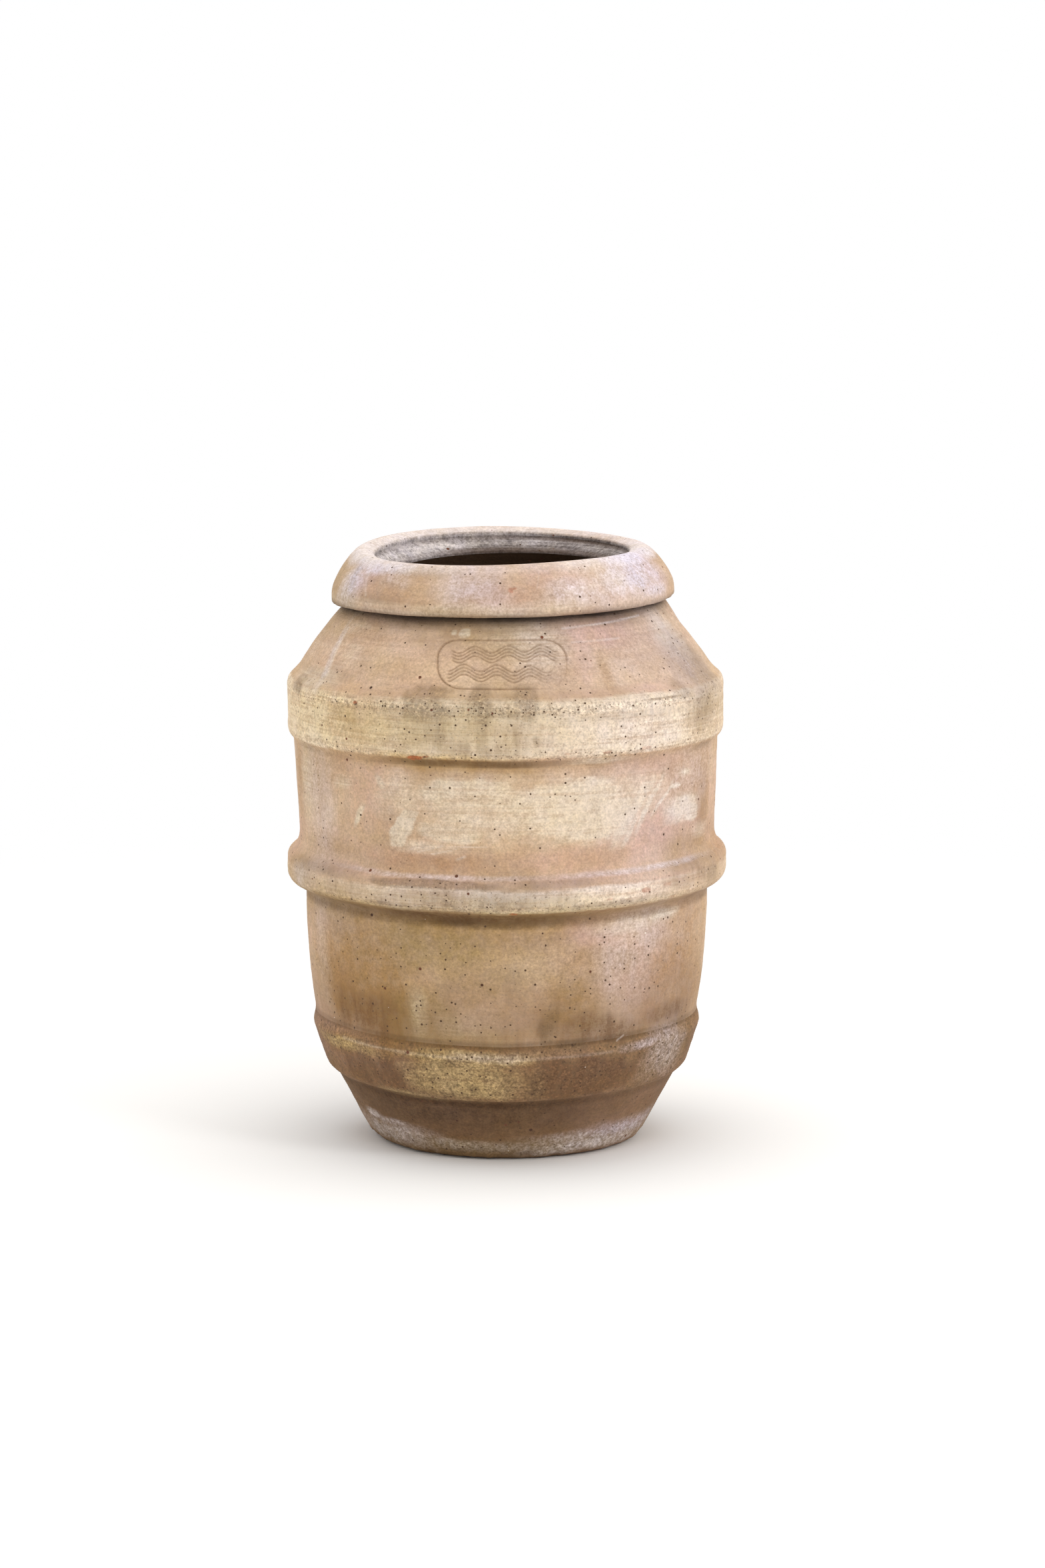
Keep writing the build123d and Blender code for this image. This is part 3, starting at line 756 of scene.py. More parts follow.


# %% [markdown]
# ## Painting the weather and the shade
# The jar has been wiped with a pale clay slip, rained on, stood in damp soil and stained by
# leaves. Each of these is a mask, a number from 0 to 1 at every point, laid down in ovals whose
# outlines are pushed about by noise. The material later breaks each mask's edge up more finely.
# The front patches follow the jar's own marks, and the back has made-up ones of the same kinds.
# Dirt and painted shade are placed by the corners of the profile instead: brown dirt with painted
# shade in the creases, under the bands and in the throat, and a near-black painted shadow under the
# rim.

# %% Tables of patches
# angle in degrees, height, half width and half height in mm, softness, strength, and the lean of
# those that don't stand upright
patches = {
    # where lime greys the clay
    "cool": [
        (52, 690, 110, 60, 0.8, 0.8), (20, 680, 80, 40, 0.9, 0.6), (48, 440, 90, 60, 0.8, 0.6),
        (34, 520, 70, 40, 0.8, 0.4), (54, 250, 70, 76, 0.8, 0.55), (22, 388, 200, 13, 0.8, 0.65),
        (20, 160, 80, 8, 0.8, 0.5), (-50, 392, 60, 14, 0.8, 0.4), (60, 762, 80, 50, 0.8, 0.65),
        (12, 765, 60, 40, 0.9, 0.4), (-8, 774, 60, 26, 0.9, 0.6), (-56, 774, 50, 20, 0.8, 0.6),
        (38, 590, 70, 40, 0.8, 0.4), (32, 150, 80, 28, 0.8, 0.45), (40, 372, 60, 14, 0.8, 0.3),
        (28, 272, 60, 40, 0.8, 0.25), (12, 318, 110, 12, 0.9, 0.45), (-56, 316, 50, 20, 0.9, 0.5),
        (42, 162, 100, 14, 0.8, 0.5), (52, 36, 70, 12, 0.8, 0.5), (150, 420, 120, 90, 0.8, 0.5),
        (230, 690, 90, 60, 0.8, 0.5), (200, 240, 80, 60, 0.8, 0.5),
    ],
    # where iron yellows it
    "warm": [
        (-48, 588, 150, 36, 0.8, 0.6), (-16, 585, 80, 30, 0.8, 0.4),
        (-18, 546, 110, 9, 0.8, 0.85), (-14, 338, 200, 16, 0.8, 0.6),
        (-14, 347, 260, 8, 0.8, 0.9), (-44, 208, 110, 50, 0.8, 0.6), (-20, 178, 90, 14, 0.8, 0.5),
        (-62, 120, 60, 40, 0.8, 0.4), (-66, 80, 40, 30, 0.8, 0.4), (-10, 24, 120, 12, 0.8, 0.4),
        (170, 590, 120, 36, 0.8, 0.5), (140, 210, 90, 50, 0.8, 0.5), (250, 420, 80, 70, 0.8, 0.4),
    ],
    # clay that fired pink
    "rosy": [
        (26, 300, 70, 46, 0.8, 0.7), (36, 262, 50, 42, 0.7, 0.8), (10, 240, 26, 30, 0.8, 0.45),
        (42, 533, 95, 14, 0.8, 0.8), (44, 440, 60, 34, 0.8, 0.7, 0.4),
        (-4, 418, 200, 15, 0.7, 0.7), (-34, 500, 50, 44, 0.9, 0.5), (-60, 420, 40, 24, 0.8, 0.6),
        (-12, 395, 240, 8, 0.8, 0.5), (46, 372, 70, 12, 0.8, 0.6), (12, 776, 30, 16, 0.8, 0.6),
        (2, 752, 50, 18, 0.8, 0.6), (26, 768, 40, 20, 0.8, 0.5), (30, 704, 66, 18, 0.8, 0.8),
        (-28, 696, 80, 26, 0.8, 0.35), (24, 664, 16, 22, 0.8, 0.4), (34, 633, 90, 7, 0.7, 0.6),
        (-44, 633, 70, 6, 0.7, 0.5), (150, 300, 90, 50, 0.8, 0.9), (215, 530, 90, 30, 0.8, 0.8),
        (190, 690, 80, 26, 0.8, 0.6), (120, 770, 60, 20, 0.8, 0.8), (225, 290, 60, 60, 0.8, 0.6),
    ],
    # a yellow wash of iron
    "ochre": [
        (-46, 252, 88, 84, 0.6, 0.85), (-36, 222, 27, 66, 0.3, 1), (-52, 232, 74, 56, 0.6, 1),
        (-52, 702, 60, 16, 0.8, 0.5), (-62, 290, 50, 60, 0.9, 0.4), (17, 214, 46, 42, 0.7, 0.8),
        (58, 248, 80, 80, 0.9, 0.8), (-40, 766, 60, 20, 0.8, 0.5), (9, 758, 60, 20, 0.8, 0.45),
        (68, 488, 22, 60, 0.5, 0.6), (-60, 590, 50, 26, 0.9, 0.5), (30, 655, 8, 22, 0.7, 0.6),
        (-12, 541, 140, 9, 0.8, 0.5), (-10, 326, 210, 22, 0.9, 0.6), (-20, 413, 74, 14, 0.9, 0.6),
        (-46, 592, 26, 18, 0.6, 0.8), (-58, 150, 70, 14, 0.7, 1), (8, 672, 60, 24, 0.9, 0.4),
        (110, 250, 90, 70, 0.7, 1), (205, 230, 80, 60, 0.7, 1), (240, 660, 60, 30, 0.7, 0.7),
        (160, 590, 50, 30, 0.7, 0.6), (180, 530, 90, 20, 0.7, 0.5),
    ],
    # a thin film of algae
    "olive": [
        (-18, 298, 88, 40, 0.7, 0.85), (-8, 258, 70, 36, 0.8, 0.7), (-22, 206, 66, 36, 0.6, 0.75),
        (-4, 200, 46, 26, 0.7, 0.5), (-50, 590, 60, 30, 0.8, 0.4), (-18, 590, 100, 34, 0.9, 0.4),
        (-63, 745, 30, 20, 0.7, 0.7), (10, 17, 300, 14, 0.6, 1), (-56, 24, 60, 18, 0.7, 1),
        (175, 290, 80, 40, 0.7, 0.9), (240, 210, 60, 40, 0.7, 0.8), (170, 16, 260, 10, 0.6, 0.8),
    ],
    # soil that rain has splashed up; the thin lines just under the middle and upper bands are painted
    # shade as well as soil
    "umber": [
        (-47, 196, 80, 34, 0.7, 0.7), (-12, 344, 150, 8, 0.8, 0.75), (40, 348, 110, 7, 0.8, 0.2),
        (-8, 546, 110, 4.5, 0.6, 0.6), (-50, 178, 100, 12, 0.7, 0.6), (-14, 175, 90, 6, 0.7, 0.3),
        (29, 187, 84, 24, 0.8, 0.8), (56, 188, 74, 20, 0.8, 0.75), (11, 196, 18, 30, 0.7, 0.6),
        (25, 125, 98, 30, 0.4, 1), (-37, 128, 20, 36, 0.4, 1), (-50, 119, 62, 26, 0.7, 0.85),
        (66, 140, 30, 34, 0.5, 0.3), (-66, 215, 10, 8, 0.7, 0.4), (110, 180, 120, 26, 0.8, 0.8),
        (205, 184, 140, 24, 0.8, 0.8), (120, 128, 110, 36, 0.5, 1), (230, 128, 110, 36, 0.5, 0.9),
    ],
    # pale slip, wiped on with a rag in broad strokes
    "slip": [
        (5, 487, 118, 38, 0.3, 0.8), (-9, 508, 64, 19, 0.3, 0.95), (14, 494, 94, 30, 0.35, 1),
        (25, 471, 62, 30, 0.3, 1, 0.4), (-13, 454, 42, 12, 0.3, 0.9),
        (-28, 498, 40, 28, 0.6, 0.55), (22, 441, 20, 10, 0.4, 0.3), (25, 546, 36, 4, 0.8, 0.6),
        (36, 478, 12, 46, 0.35, 0.9, 0.7), (42, 488, 6, 36, 0.4, 0.85, 0.6),
        (46.5, 484, 4, 24, 0.4, 0.7, 0.8), (35, 450, 4, 20, 0.5, 0.7, 0.7),
        (-27, 459, 17, 20, 0.2, 1, 0.55), (-29.5, 441, 12, 8, 0.3, 0.9, 0.3),
        (-42.5, 467, 5, 15, 0.5, 0.75, 0.5), (-35, 513, 6, 9, 0.4, 0.8, -0.6),
        (-48, 508, 16, 8, 0.8, 0.5, 0.5), (56, 468, 32, 17, 0.6, 0.75),
        (60, 459, 18, 12, 0.3, 0.95), (57, 516, 12, 4, 0.8, 0.6), (52, 500, 12, 3, 0.5, 0.9),
        (67, 434, 22, 10, 0.8, 0.5), (-21, 434, 40, 7, 0.9, 0.6), (5, 520, 100, 16, 0.9, 0.35),
        (36, 500, 50, 30, 0.9, 0.6), (-12, 707, 10, 5, 0.25, 0.9), (-16, 708, 5, 3, 0.4, 0.8),
        (-51, 664, 30, 18, 0.9, 0.4), (-46, 618, 70, 6, 0.8, 0.8), (-56, 706, 44, 9, 0.9, 0.35),
        (-62, 640, 50, 14, 0.8, 0.8), (10, 688, 50, 28, 0.9, 0.45), (-68, 508, 24, 60, 0.9, 0.5),
        (66, 690, 40, 30, 0.9, 0.5), (49, 328, 26, 7, 0.6, 0.8, 0.6), (36, 322, 50, 10, 0.9, 0.5),
        (-26, 212, 12, 26, 0.9, 0.35), (-12, 202, 44, 24, 0.9, 0.15),
        (-20, 737, 330, 9, 0.7, 0.4), (-14, 130, 92, 30, 0.3, 0.8), (-8, 114, 60, 14, 0.5, 1),
        (-11, 157, 96, 8, 0.6, 1), (-56, 150, 76, 8, 0.7, 0.7), (-30, 98, 60, 5, 0.8, 0.6),
        (120, 480, 70, 34, 0.3, 0.9), (170, 470, 95, 40, 0.3, 1), (232, 492, 60, 30, 0.3, 1, 0.5),
        (150, 130, 80, 26, 0.4, 0.9), (262, 455, 24, 22, 0.3, 0.9, 0.5),
        (190, 205, 70, 30, 0.8, 0.5),
    ],
    # brown water from wet leaves, in drips and along edges; the band on the shoulder just under the
    # rim is painted shade as well as stain
    "stain_and_shade": [
        (-20, 612, 32, 16, 0.4, 1), (-18, 585, 24, 30, 0.6, 0.6), (-17, 575, 10, 24, 0.6, 0.7),
        (-20, 633, 30, 12, 0.4, 1), (-6.5, 618, 14, 27, 0.4, 1), (-7, 582, 12, 28, 0.6, 0.75),
        (5, 622, 23, 22, 0.4, 1), (4, 584, 18, 30, 0.6, 0.6), (8, 577, 5, 8, 0.6, 0.9),
        (-10, 584, 110, 44, 0.9, 0.5), (-8, 562, 50, 10, 0.9, 0.7), (2, 632, 190, 9, 0.9, 0.45),
        (-10, 369, 110, 13, 0.8, 0.75), (-8, 613, 120, 8, 0.7, 0.75), (46, 621, 40, 1.6, 0.5, 1),
        (-45, 748, 50, 7, 0.8, 0.5), (-22, 700, 40, 12, 0.8, 0.4), (20, 603, 300, 6, 0.9, 0.3),
        (66, 545, 30, 5, 0.8, 0.6), (-66, 545, 30, 5, 0.8, 0.6), (67, 645, 46, 44, 0.8, 0.75),
        (63, 604, 40, 34, 0.7, 0.7), (54, 628, 20, 12, 0.6, 0.7), (-69, 629, 20, 12, 0.6, 0.9),
        (-60, 640, 60, 14, 0.9, 0.4), (-10, 715, 180, 10, 0.7, 0.45), (-30, 717, 60, 8, 0.8, 0.6),
        (40, 718, 60, 9, 0.8, 0.6), (-20, 389, 84, 6.5, 0.3, 1), (12, 389, 44, 6, 0.5, 0.5),
        (-58, 390, 70, 9, 0.7, 0.5), (60, 390, 64, 10, 0.7, 0.6), (-15, 366, 15, 8, 0.7, 1),
        (-13.5, 360, 9, 4, 0.6, 1), (-5.5, 366, 8, 9, 0.8, 0.8), (-16, 146, 15, 5, 0.6, 1),
        (66, 470, 20, 40, 0.9, 0.3), (-9, 115, 8, 4, 0.5, 1, 0.6), (-25, 121, 24, 5, 0.8, 0.6),
        (1, 130, 12, 22, 0.8, 0.4), (-22, 104, 60, 4, 0.7, 0.7), (14, 366, 18, 9, 0.7, 0.6),
        (-40, 366, 60, 12, 0.8, 0.3), (-28, 358, 60, 4, 0.7, 0.8), (24, 358, 90, 4, 0.7, 0.6),
        (50, 372, 40, 12, 0.8, 0.5), (64, 372, 34, 14, 0.7, 0.9), (-66, 372, 30, 12, 0.8, 0.3),
        (-16, 241, 24, 13, 0.8, 0.25), (2, 250, 12, 34, 0.8, 0.3), (12, 198, 11, 28, 0.7, 0.8),
        (19, 171, 18, 6, 0.5, 1), (9, 122, 14, 22, 0.7, 0.8), (-64, 776, 10, 18, 0.7, 0.6, -0.5),
        (57, 776, 34, 24, 0.8, 0.5), (-30, 790, 80, 8, 0.8, 0.4), (-15, 18, 120, 8, 0.8, 0.5),
        (120, 600, 60, 40, 0.7, 0.8), (185, 628, 60, 14, 0.5, 0.9), (182, 590, 24, 40, 0.4, 0.9),
        (199, 596, 14, 44, 0.4, 0.8), (245, 640, 40, 40, 0.7, 0.9), (160, 388, 110, 7, 0.3, 0.9),
        (220, 366, 20, 10, 0.7, 0.8), (230, 250, 30, 40, 0.8, 0.6),
    ],
    # a white bloom left by drying water
    "lime": [
        (-12, 772, 46, 26, 0.8, 0.45), (-4, 752, 30, 16, 0.8, 0.3), (-64, 768, 34, 28, 0.8, 0.8),
        (50, 778, 86, 26, 0.8, 1), (64, 772, 54, 22, 0.8, 0.6), (27, 756, 50, 17, 0.9, 0.75),
        (-50, 790, 70, 9, 0.7, 0.9), (-78, 808, 150, 16, 0.8, 1), (78, 806, 150, 14, 0.8, 0.9),
        (-88, 834, 90, 20, 0.8, 1), (232, 832, 150, 24, 0.8, 1), (185, 826, 110, 10, 0.9, 0.6),
        (-61, 672, 6, 40, 0.6, 0.55, -0.3), (-59, 480, 26, 80, 0.9, 0.4),
        (-68, 372, 20, 16, 0.8, 0.4), (60, 516, 60, 26, 0.9, 0.35), (66, 650, 40, 34, 0.9, 0.2),
        (35, 278, 44, 50, 0.9, 0.3), (40, 310, 40, 30, 0.9, 0.4), (-66, 290, 20, 80, 0.9, 0.2),
        (57, 138, 44, 30, 0.7, 0.4), (-50, 44, 40, 5, 0.5, 0.45), (-24, 25, 40, 6, 0.8, 0.35),
        (16, 26, 40, 6, 0.8, 0.3), (-52, 27, 100, 14, 0.7, 0.5), (-60, 48, 22, 6, 0.7, 0.7),
        (36, 30, 110, 9, 0.8, 0.52), (56, 32, 80, 13, 0.9, 0.7), (-12, 22, 100, 7, 0.8, 0.35),
        (36, 16, 130, 9, 0.7, 0.7), (40, 398, 110, 3, 0.8, 0.6), (-20, 398, 110, 2.5, 0.8, 0.5),
        (-4, 158, 44, 5, 0.8, 0.26), (46, 158, 40, 5, 0.8, 0.4), (64, 748, 40, 9, 0.8, 0.8),
        (-40, 777, 30, 9, 0.8, 0.4), (125, 785, 80, 18, 0.7, 0.9), (200, 780, 90, 20, 0.7, 0.7),
        (150, 46, 60, 10, 0.5, 0.9), (235, 30, 90, 14, 0.7, 0.7), (140, 620, 40, 30, 0.8, 0.5),
        (250, 300, 40, 70, 0.8, 0.5),
    ],
}

# two ends as angle and height, then half width in mm and strength
scratches = [
    (-62, 702, -58, 644, 2.6, 0.8), (20, 711, 55, 716, 1, 0.9), (22, 696, 40, 697, 1.3, 0.5),
    (-26, 432, -19, 436, 1.1, 0.8), (-24, 428, -17, 437, 0.9, 0.8),
    (-20, 426, -13, 434, 0.9, 0.7), (-15, 436, -5, 438, 1, 0.7), (-13, 420, -11, 424, 1.6, 0.8),
    (34, 169, 36.5, 174, 1, 1), (40, 744, 48, 776, 1.4, 0.4), (22, 760, 46, 772, 2.4, 0.35),
    (-58, 792, -52, 752, 2.2, 0.5), (12, 768, 14, 792, 1.2, 0.3), (-56, 158, -14, 156, 2.2, 0.3),
    (4, 156, 32, 156, 2, 0.2), (130, 700, 150, 690, 1.2, 0.7), (200, 520, 224, 500, 1.2, 0.7),
    (160, 250, 164, 220, 1.2, 0.7),
]

print("patches of each kind:", {name: len(rows) for name, rows in patches.items()})

# %% Paint the masks
BROAD_PUSH, FINE_PUSH = 12.0, 5.0  # mm that noise pushes a patch's outline about
FREE_SIZE = 30.0  # mm; a patch with a smaller half size is pushed about less

# heights in mm between which each of these fades in, upwards or downwards
SPLASHED_BELOW = (310, 175)
SOILED_BAND_BELOW, ROUGH_BAND_BELOW, ROUGH_BELLY_BELOW = (166, 150), (172, 160), (340, 250)
BLEACHED_ABOVE, BLEACHED_BELOW = (560, 680), (745, 715)
DAMP_ABOVE = (22, 76)

# how strongly the pale coat shows at an angle on the upper band and on the middle one
COAT_ANGLES = [-80, -56, -50, -42, -34, -10, 12, 54, 60, 90, 150, 200, 240, 280]
UPPER_COAT = [0.75, 0.8, 0.6, 0.45, 0.75, 0.8, 0.95, 0.95, 0.6, 0.5, 0.8, 0.6, 0.9, 0.8]
MIDDLE_COAT = [0.2, 0.25, 0.3, 0.45, 0.6, 0.8, 0.95, 0.4, 0.25, 0.3, 0.8, 0.6, 0.8, 0.3]

# how dark damp from the ground has made the foot at an angle
FOOT_ANGLES = [-80, -45, -25, 15, 35, 50, 80, 150, 280]
FOOT_DAMP = [0.55, 0.8, 0.92, 0.8, 0.54, 0.32, 0.26, 1.0, 0.8]


def table_angle(angle):
    """The angle as these tables have it, from -80 to 280 degrees."""
    return turned_by(angle, 100) + 100


def painted(name, angle, height, push):
    """One mask: the strongest of its patches at each point."""
    mask = np.zeros(angle.shape)
    for turn, up, half_wide, half_high, soft, strength, *lean in patches[name]:
        moved_angle = angle + np.degrees(push[0] / PATCH_RADIUS) * min(1, half_wide / FREE_SIZE)
        moved_height = height + push[1] * min(1, half_high / FREE_SIZE)
        out = oval_distance(moved_angle, moved_height, (turn, up), half_wide, half_high, *lean)
        mask = np.maximum(mask, strength * smooth(out, 1 + soft, 1 - soft))
    return mask


def scratch_mask(angle, height):
    """Pale lines between two ends."""
    mask = np.zeros(angle.shape)
    for turn_a, up_a, turn_b, up_b, half_wide, strength in scratches:
        across = np.radians(turned_by(angle, turn_a)) * PATCH_RADIUS
        run, rise = radians(turn_b - turn_a) * PATCH_RADIUS, up_b - up_a
        share = np.clip((across * run + (height - up_a) * rise) / (run**2 + rise**2), 0, 1)
        off = np.hypot(across - share * run, height - up_a - share * rise)
        mask = np.maximum(mask, strength * np.exp(-((off / half_wide) ** 2)))
    return mask


# corner, mm down and up from it, depth at the darkest angle and far from it, that angle, spread
# brown dirt together with painted shade: under the three bands, under the rim and in the throat
CREASE_DIRT_AND_SHADE = [
    ("foot_edge", 12, 4, 0.7, 0.25, -20, 40),
    ("lower_belly_foot", 4, 6, 0.5, 0.25, 10, 50),
    ("lower_belly_head", 12, 26, 0.75, 0.5, -6, 50),
    ("upper_belly_head", 5, 7, 0.6, 0.05, -10, 28),
    ("neck", 25, 30, 0.6, 0.5, -6, 60),
    ("mouth_groove", 3, 6, 0.8, 0.1, 150, 85),
    ("throat_top", 8, 4, 0.9, 0.1, 150, 85),
]
# a near-black layer just under the rim's lip: painted shadow, with some dirt
UNDER_RIM_SHADOW_AND_DIRT = [("neck", 22, 31, 1.0, 0.97, -6, 60)]


def corner_dirt_and_shade(rows, angle, run, points):
    """Dirt and painted shade under the bands, under the rim and in the creases."""
    mask = np.zeros(angle.shape)
    for name, below, above, deep, least, middle, wide in rows:
        off = run - corner_run[name]
        fall = np.exp(-(abs(off / np.where(off < 0, below, above)) ** 5))
        around = least + (deep - least) * np.exp(-((turned_by(angle, middle) / wide) ** 2))
        mask = np.maximum(mask, around * fall)
    return mask * (0.9 + 0.3 * noise(points, (60, 60, 12), 51))


def coat_mask(angle, height, points):
    """The pale slip wiped over the faces of the two upper bands."""
    turn = table_angle(angle)
    push = 2.5 * noise(points, (60, 60, 20), 52) + 1.5 * noise(points, (9, 9, 4), 53)
    upper = smooth(height + push, upper_belly_top + 3, upper_belly_top + 10)
    upper = upper * smooth(height + push, upper_band_top - 7, upper_band_top - 15)
    middle = smooth(height + push, lower_belly_top + 8, lower_belly_top + 14)
    middle = middle * smooth(height + push, middle_band_top - 26, middle_band_top - 32)
    upper = upper * np.interp(turn, COAT_ANGLES, UPPER_COAT)
    middle = middle * np.interp(turn, COAT_ANGLES, MIDDLE_COAT)
    return np.maximum(upper, middle)


def pitted_mask(height, front, coat, stain_and_shade):
    """How rough the skin is: most of all along worn edges, in stains and on the low pieces."""
    rough_edge = np.exp(-(((height - (upper_band_top - 24)) / 6) ** 2)) * (0.3 + 1.2 * front)
    for low_edge in (upper_belly_top + 8, lower_belly_top + 16):
        edge = np.exp(-(((height - low_edge) / 5) ** 2)) * (0.2 + 0.6 * front)
        rough_edge = rough_edge + edge
    above_foot = smooth(height, foot_top, foot_top + 6)
    low = 0.3 * smooth(height, *ROUGH_BAND_BELOW) + 0.14 * smooth(height, *ROUGH_BELLY_BELOW)
    return 0.1 + 0.12 * coat + 0.5 * rough_edge + 0.4 * stain_and_shade + low * above_foot


def damp_mask(angle, height):
    """The foot, darkened by the damp of the ground and a little drier at its very edge."""
    damp = np.interp(table_angle(angle), FOOT_ANGLES, FOOT_DAMP)
    damp = damp * (0.34 + 0.66 * smooth(height, *DAMP_ABOVE))
    return damp * smooth(height, foot_top + 6, foot_top - 4)


def weather(angle, height, run, points):
    """All masks of the skin, by name."""
    push = [
        BROAD_PUSH * noise(points, 52, seed) + FINE_PUSH * layered_noise(points, 15, seed + 5)
        for seed in (61, 71)
    ]
    masks = {name: painted(name, angle, height, push) for name in patches}
    for name, seed in (("rosy", 81), ("ochre", 85), ("olive", 89)):
        wash = 0.5 * smooth(layered_noise(points, (150, 150, 70), seed), 0.0, 0.9)
        masks[name] = np.maximum(masks[name], wash)

    low_band = 0.6 * smooth(height, foot_top, foot_top + 6) * smooth(height, *SOILED_BAND_BELOW)
    splashed = 0.55 * smooth(height, *SPLASHED_BELOW) * (0.8 + 0.3 * noise(points, 70, 94))
    masks["umber"] = np.maximum(masks["umber"], np.maximum(low_band, splashed))

    coat = coat_mask(angle, height, points)
    bleached = 0.15 * smooth(height, *BLEACHED_ABOVE) * smooth(height, *BLEACHED_BELOW)
    bleached = bleached * (1 + 0.6 * noise(points, 60, 93))
    masks["slip"] = np.maximum(np.maximum(masks["slip"], coat), bleached)
    masks["slip"] *= 1 + 0.25 * layered_noise(points, (75, 75, 36), 95)

    front = np.exp(-((turned_by(angle, -5) / 50) ** 2))
    masks["pitted"] = pitted_mask(height, front, coat, masks["stain_and_shade"])
    masks["foot_damp"] = damp_mask(angle, height)
    # dirt with painted shade by the corners, and a painted shadow under the rim
    masks["crease_dirt_and_shade"] = corner_dirt_and_shade(CREASE_DIRT_AND_SHADE, angle, run, points)
    masks["under_rim_shadow_and_dirt"] = corner_dirt_and_shade(UNDER_RIM_SHADOW_AND_DIRT, angle, run, points)
    masks["scratch"] = scratch_mask(angle, height)
    masks["throat"] = smooth(run, corner_run["mouth"] - 5, corner_run["mouth"] + 3)
    worn_front = 1 - 0.7 * np.exp(-((turned_by(angle, 2) / 28) ** 2))
    masks["rim_bloom"] = smooth(height, crest - 18, crest - 2) * worn_front * (1 - masks["throat"])
    return masks


MASK_NAMES = [*patches, "pitted", "foot_damp", "crease_dirt_and_shade", "under_rim_shadow_and_dirt", "scratch", "throat", "rim_bloom"]
MASK_NAMES += ["bare", "groove"]  # from the chips and the panel

# %% [markdown]
# ## Turning the pieces
# Each outline is turned into rings of points. On the skin the points then move out along the
# normal by the marks above. Rings that nobody sees from outside stay plain, apart from the finger
# ridges that a coil builder leaves on the inside. Where skin ends and a hidden face begins the
# edge is marked sharp, so that the shading of one doesn't bleed into the other.

# %% Turn an outline into a mesh
INSIDE_STEP = 6.0  # mm between rings on the inside
RIDGE_SPACING, RIDGE_HEIGHT = 23.0, 1.1
INSIDE_DIRT = 0.75  # the inside is dark with old oil and dust


def filled_in(points, step):
    """The points of a line with more between them, none further apart than step."""
    line = [np.array(points[0], float)]
    for start, end in zip(points, points[1:]):
        start, end = np.array(start, float), np.array(end, float)
        count = max(1, ceil(np.linalg.norm(end - start) / step))
        line += [start + (end - start) * i / count for i in range(1, count + 1)]
    return line


def finger_ridges(points, angle):
    """How far the fingers pushed the inside of the wall out and in."""
    climb = points[..., 2] / RIDGE_SPACING + angle / 360
    uneven = 0.6 * noise(points, 60, 41)
    return RIDGE_HEIGHT * np.sin(2 * np.pi * (climb + uneven)) + 0.5 * noise(points, 18, 42)


def turned_piece(node, first, last, hidden, inner, hidden_low=()):
    """The mesh object of one piece, with its masks as named attributes."""
    own_columns = {"shoulder_wall": shoulder_columns, "floor_seam_coil": inner_columns}
    degrees = own_columns.get(node, wall_columns)
    skin = slice(corner_row[first], corner_row[last] + 1) if first else slice(0, 0)
    skin_rows = list(skin_line[skin])
    inner_rows = filled_in(inner, INSIDE_STEP) if inner else []
    if node == "floor_seam_coil":
        inner_rows = inner_rows[:-1]
    line = np.array([*skin_rows, *hidden, *inner_rows, *hidden_low])
    angle, radius = np.meshgrid(degrees, line[:, 0])
    height = np.repeat(line[:, 1:], len(degrees), axis=1)
    points = settled(radius, height, np.radians(angle))
    masks = {name: np.zeros(angle.shape) for name in MASK_NAMES}
    masks["crease_dirt_and_shade"][:] = INSIDE_DIRT

    count = len(skin_rows)
    if count:
        skin_angle = angle[:count]
        run = np.repeat(skin_run[skin][:, None], len(degrees), axis=1)
        # past the crest the line turns down again, so marks there go by the length along it
        over_crest = run - corner_run["crest_outer"]
        level = np.where(over_crest > 0, crest + over_crest, height[:count])
        out, bare = clay_marks(skin_angle, level, run, points[:count])
        masks_here = weather(skin_angle, level, run, points[:count])
        masks_here["bare"] = bare
        if node == "shoulder_wall":
            cut = panel_cut(skin_angle, run, radius[:count])
            out = out - PANEL_DEPTH * cut
            masks_here["groove"] = cut
        for name, mask in masks_here.items():
            masks[name][:count] = np.clip(mask, 0, 1)
        side = np.radians(skin_angle)
        normal = skin_out[skin]
        points[:count, :, 0] += out * normal[:, :1] * np.sin(side)
        points[:count, :, 1] -= out * normal[:, :1] * np.cos(side)
        points[:count, :, 2] += out * normal[:, 1:]

    ridged = slice(count + len(hidden) + 1, count + len(hidden) + len(inner_rows) - 1)
    if node.endswith("_wall") and len(inner_rows) > 2:
        push = finger_ridges(points[ridged], angle[ridged])
        side = np.radians(angle[ridged])
        points[ridged, :, 0] += push * np.sin(side)
        points[ridged, :, 1] -= push * np.cos(side)
    return mesh_of_rings(node + "_fired", points * MM, masks, count, capped=node == "floor_slab")


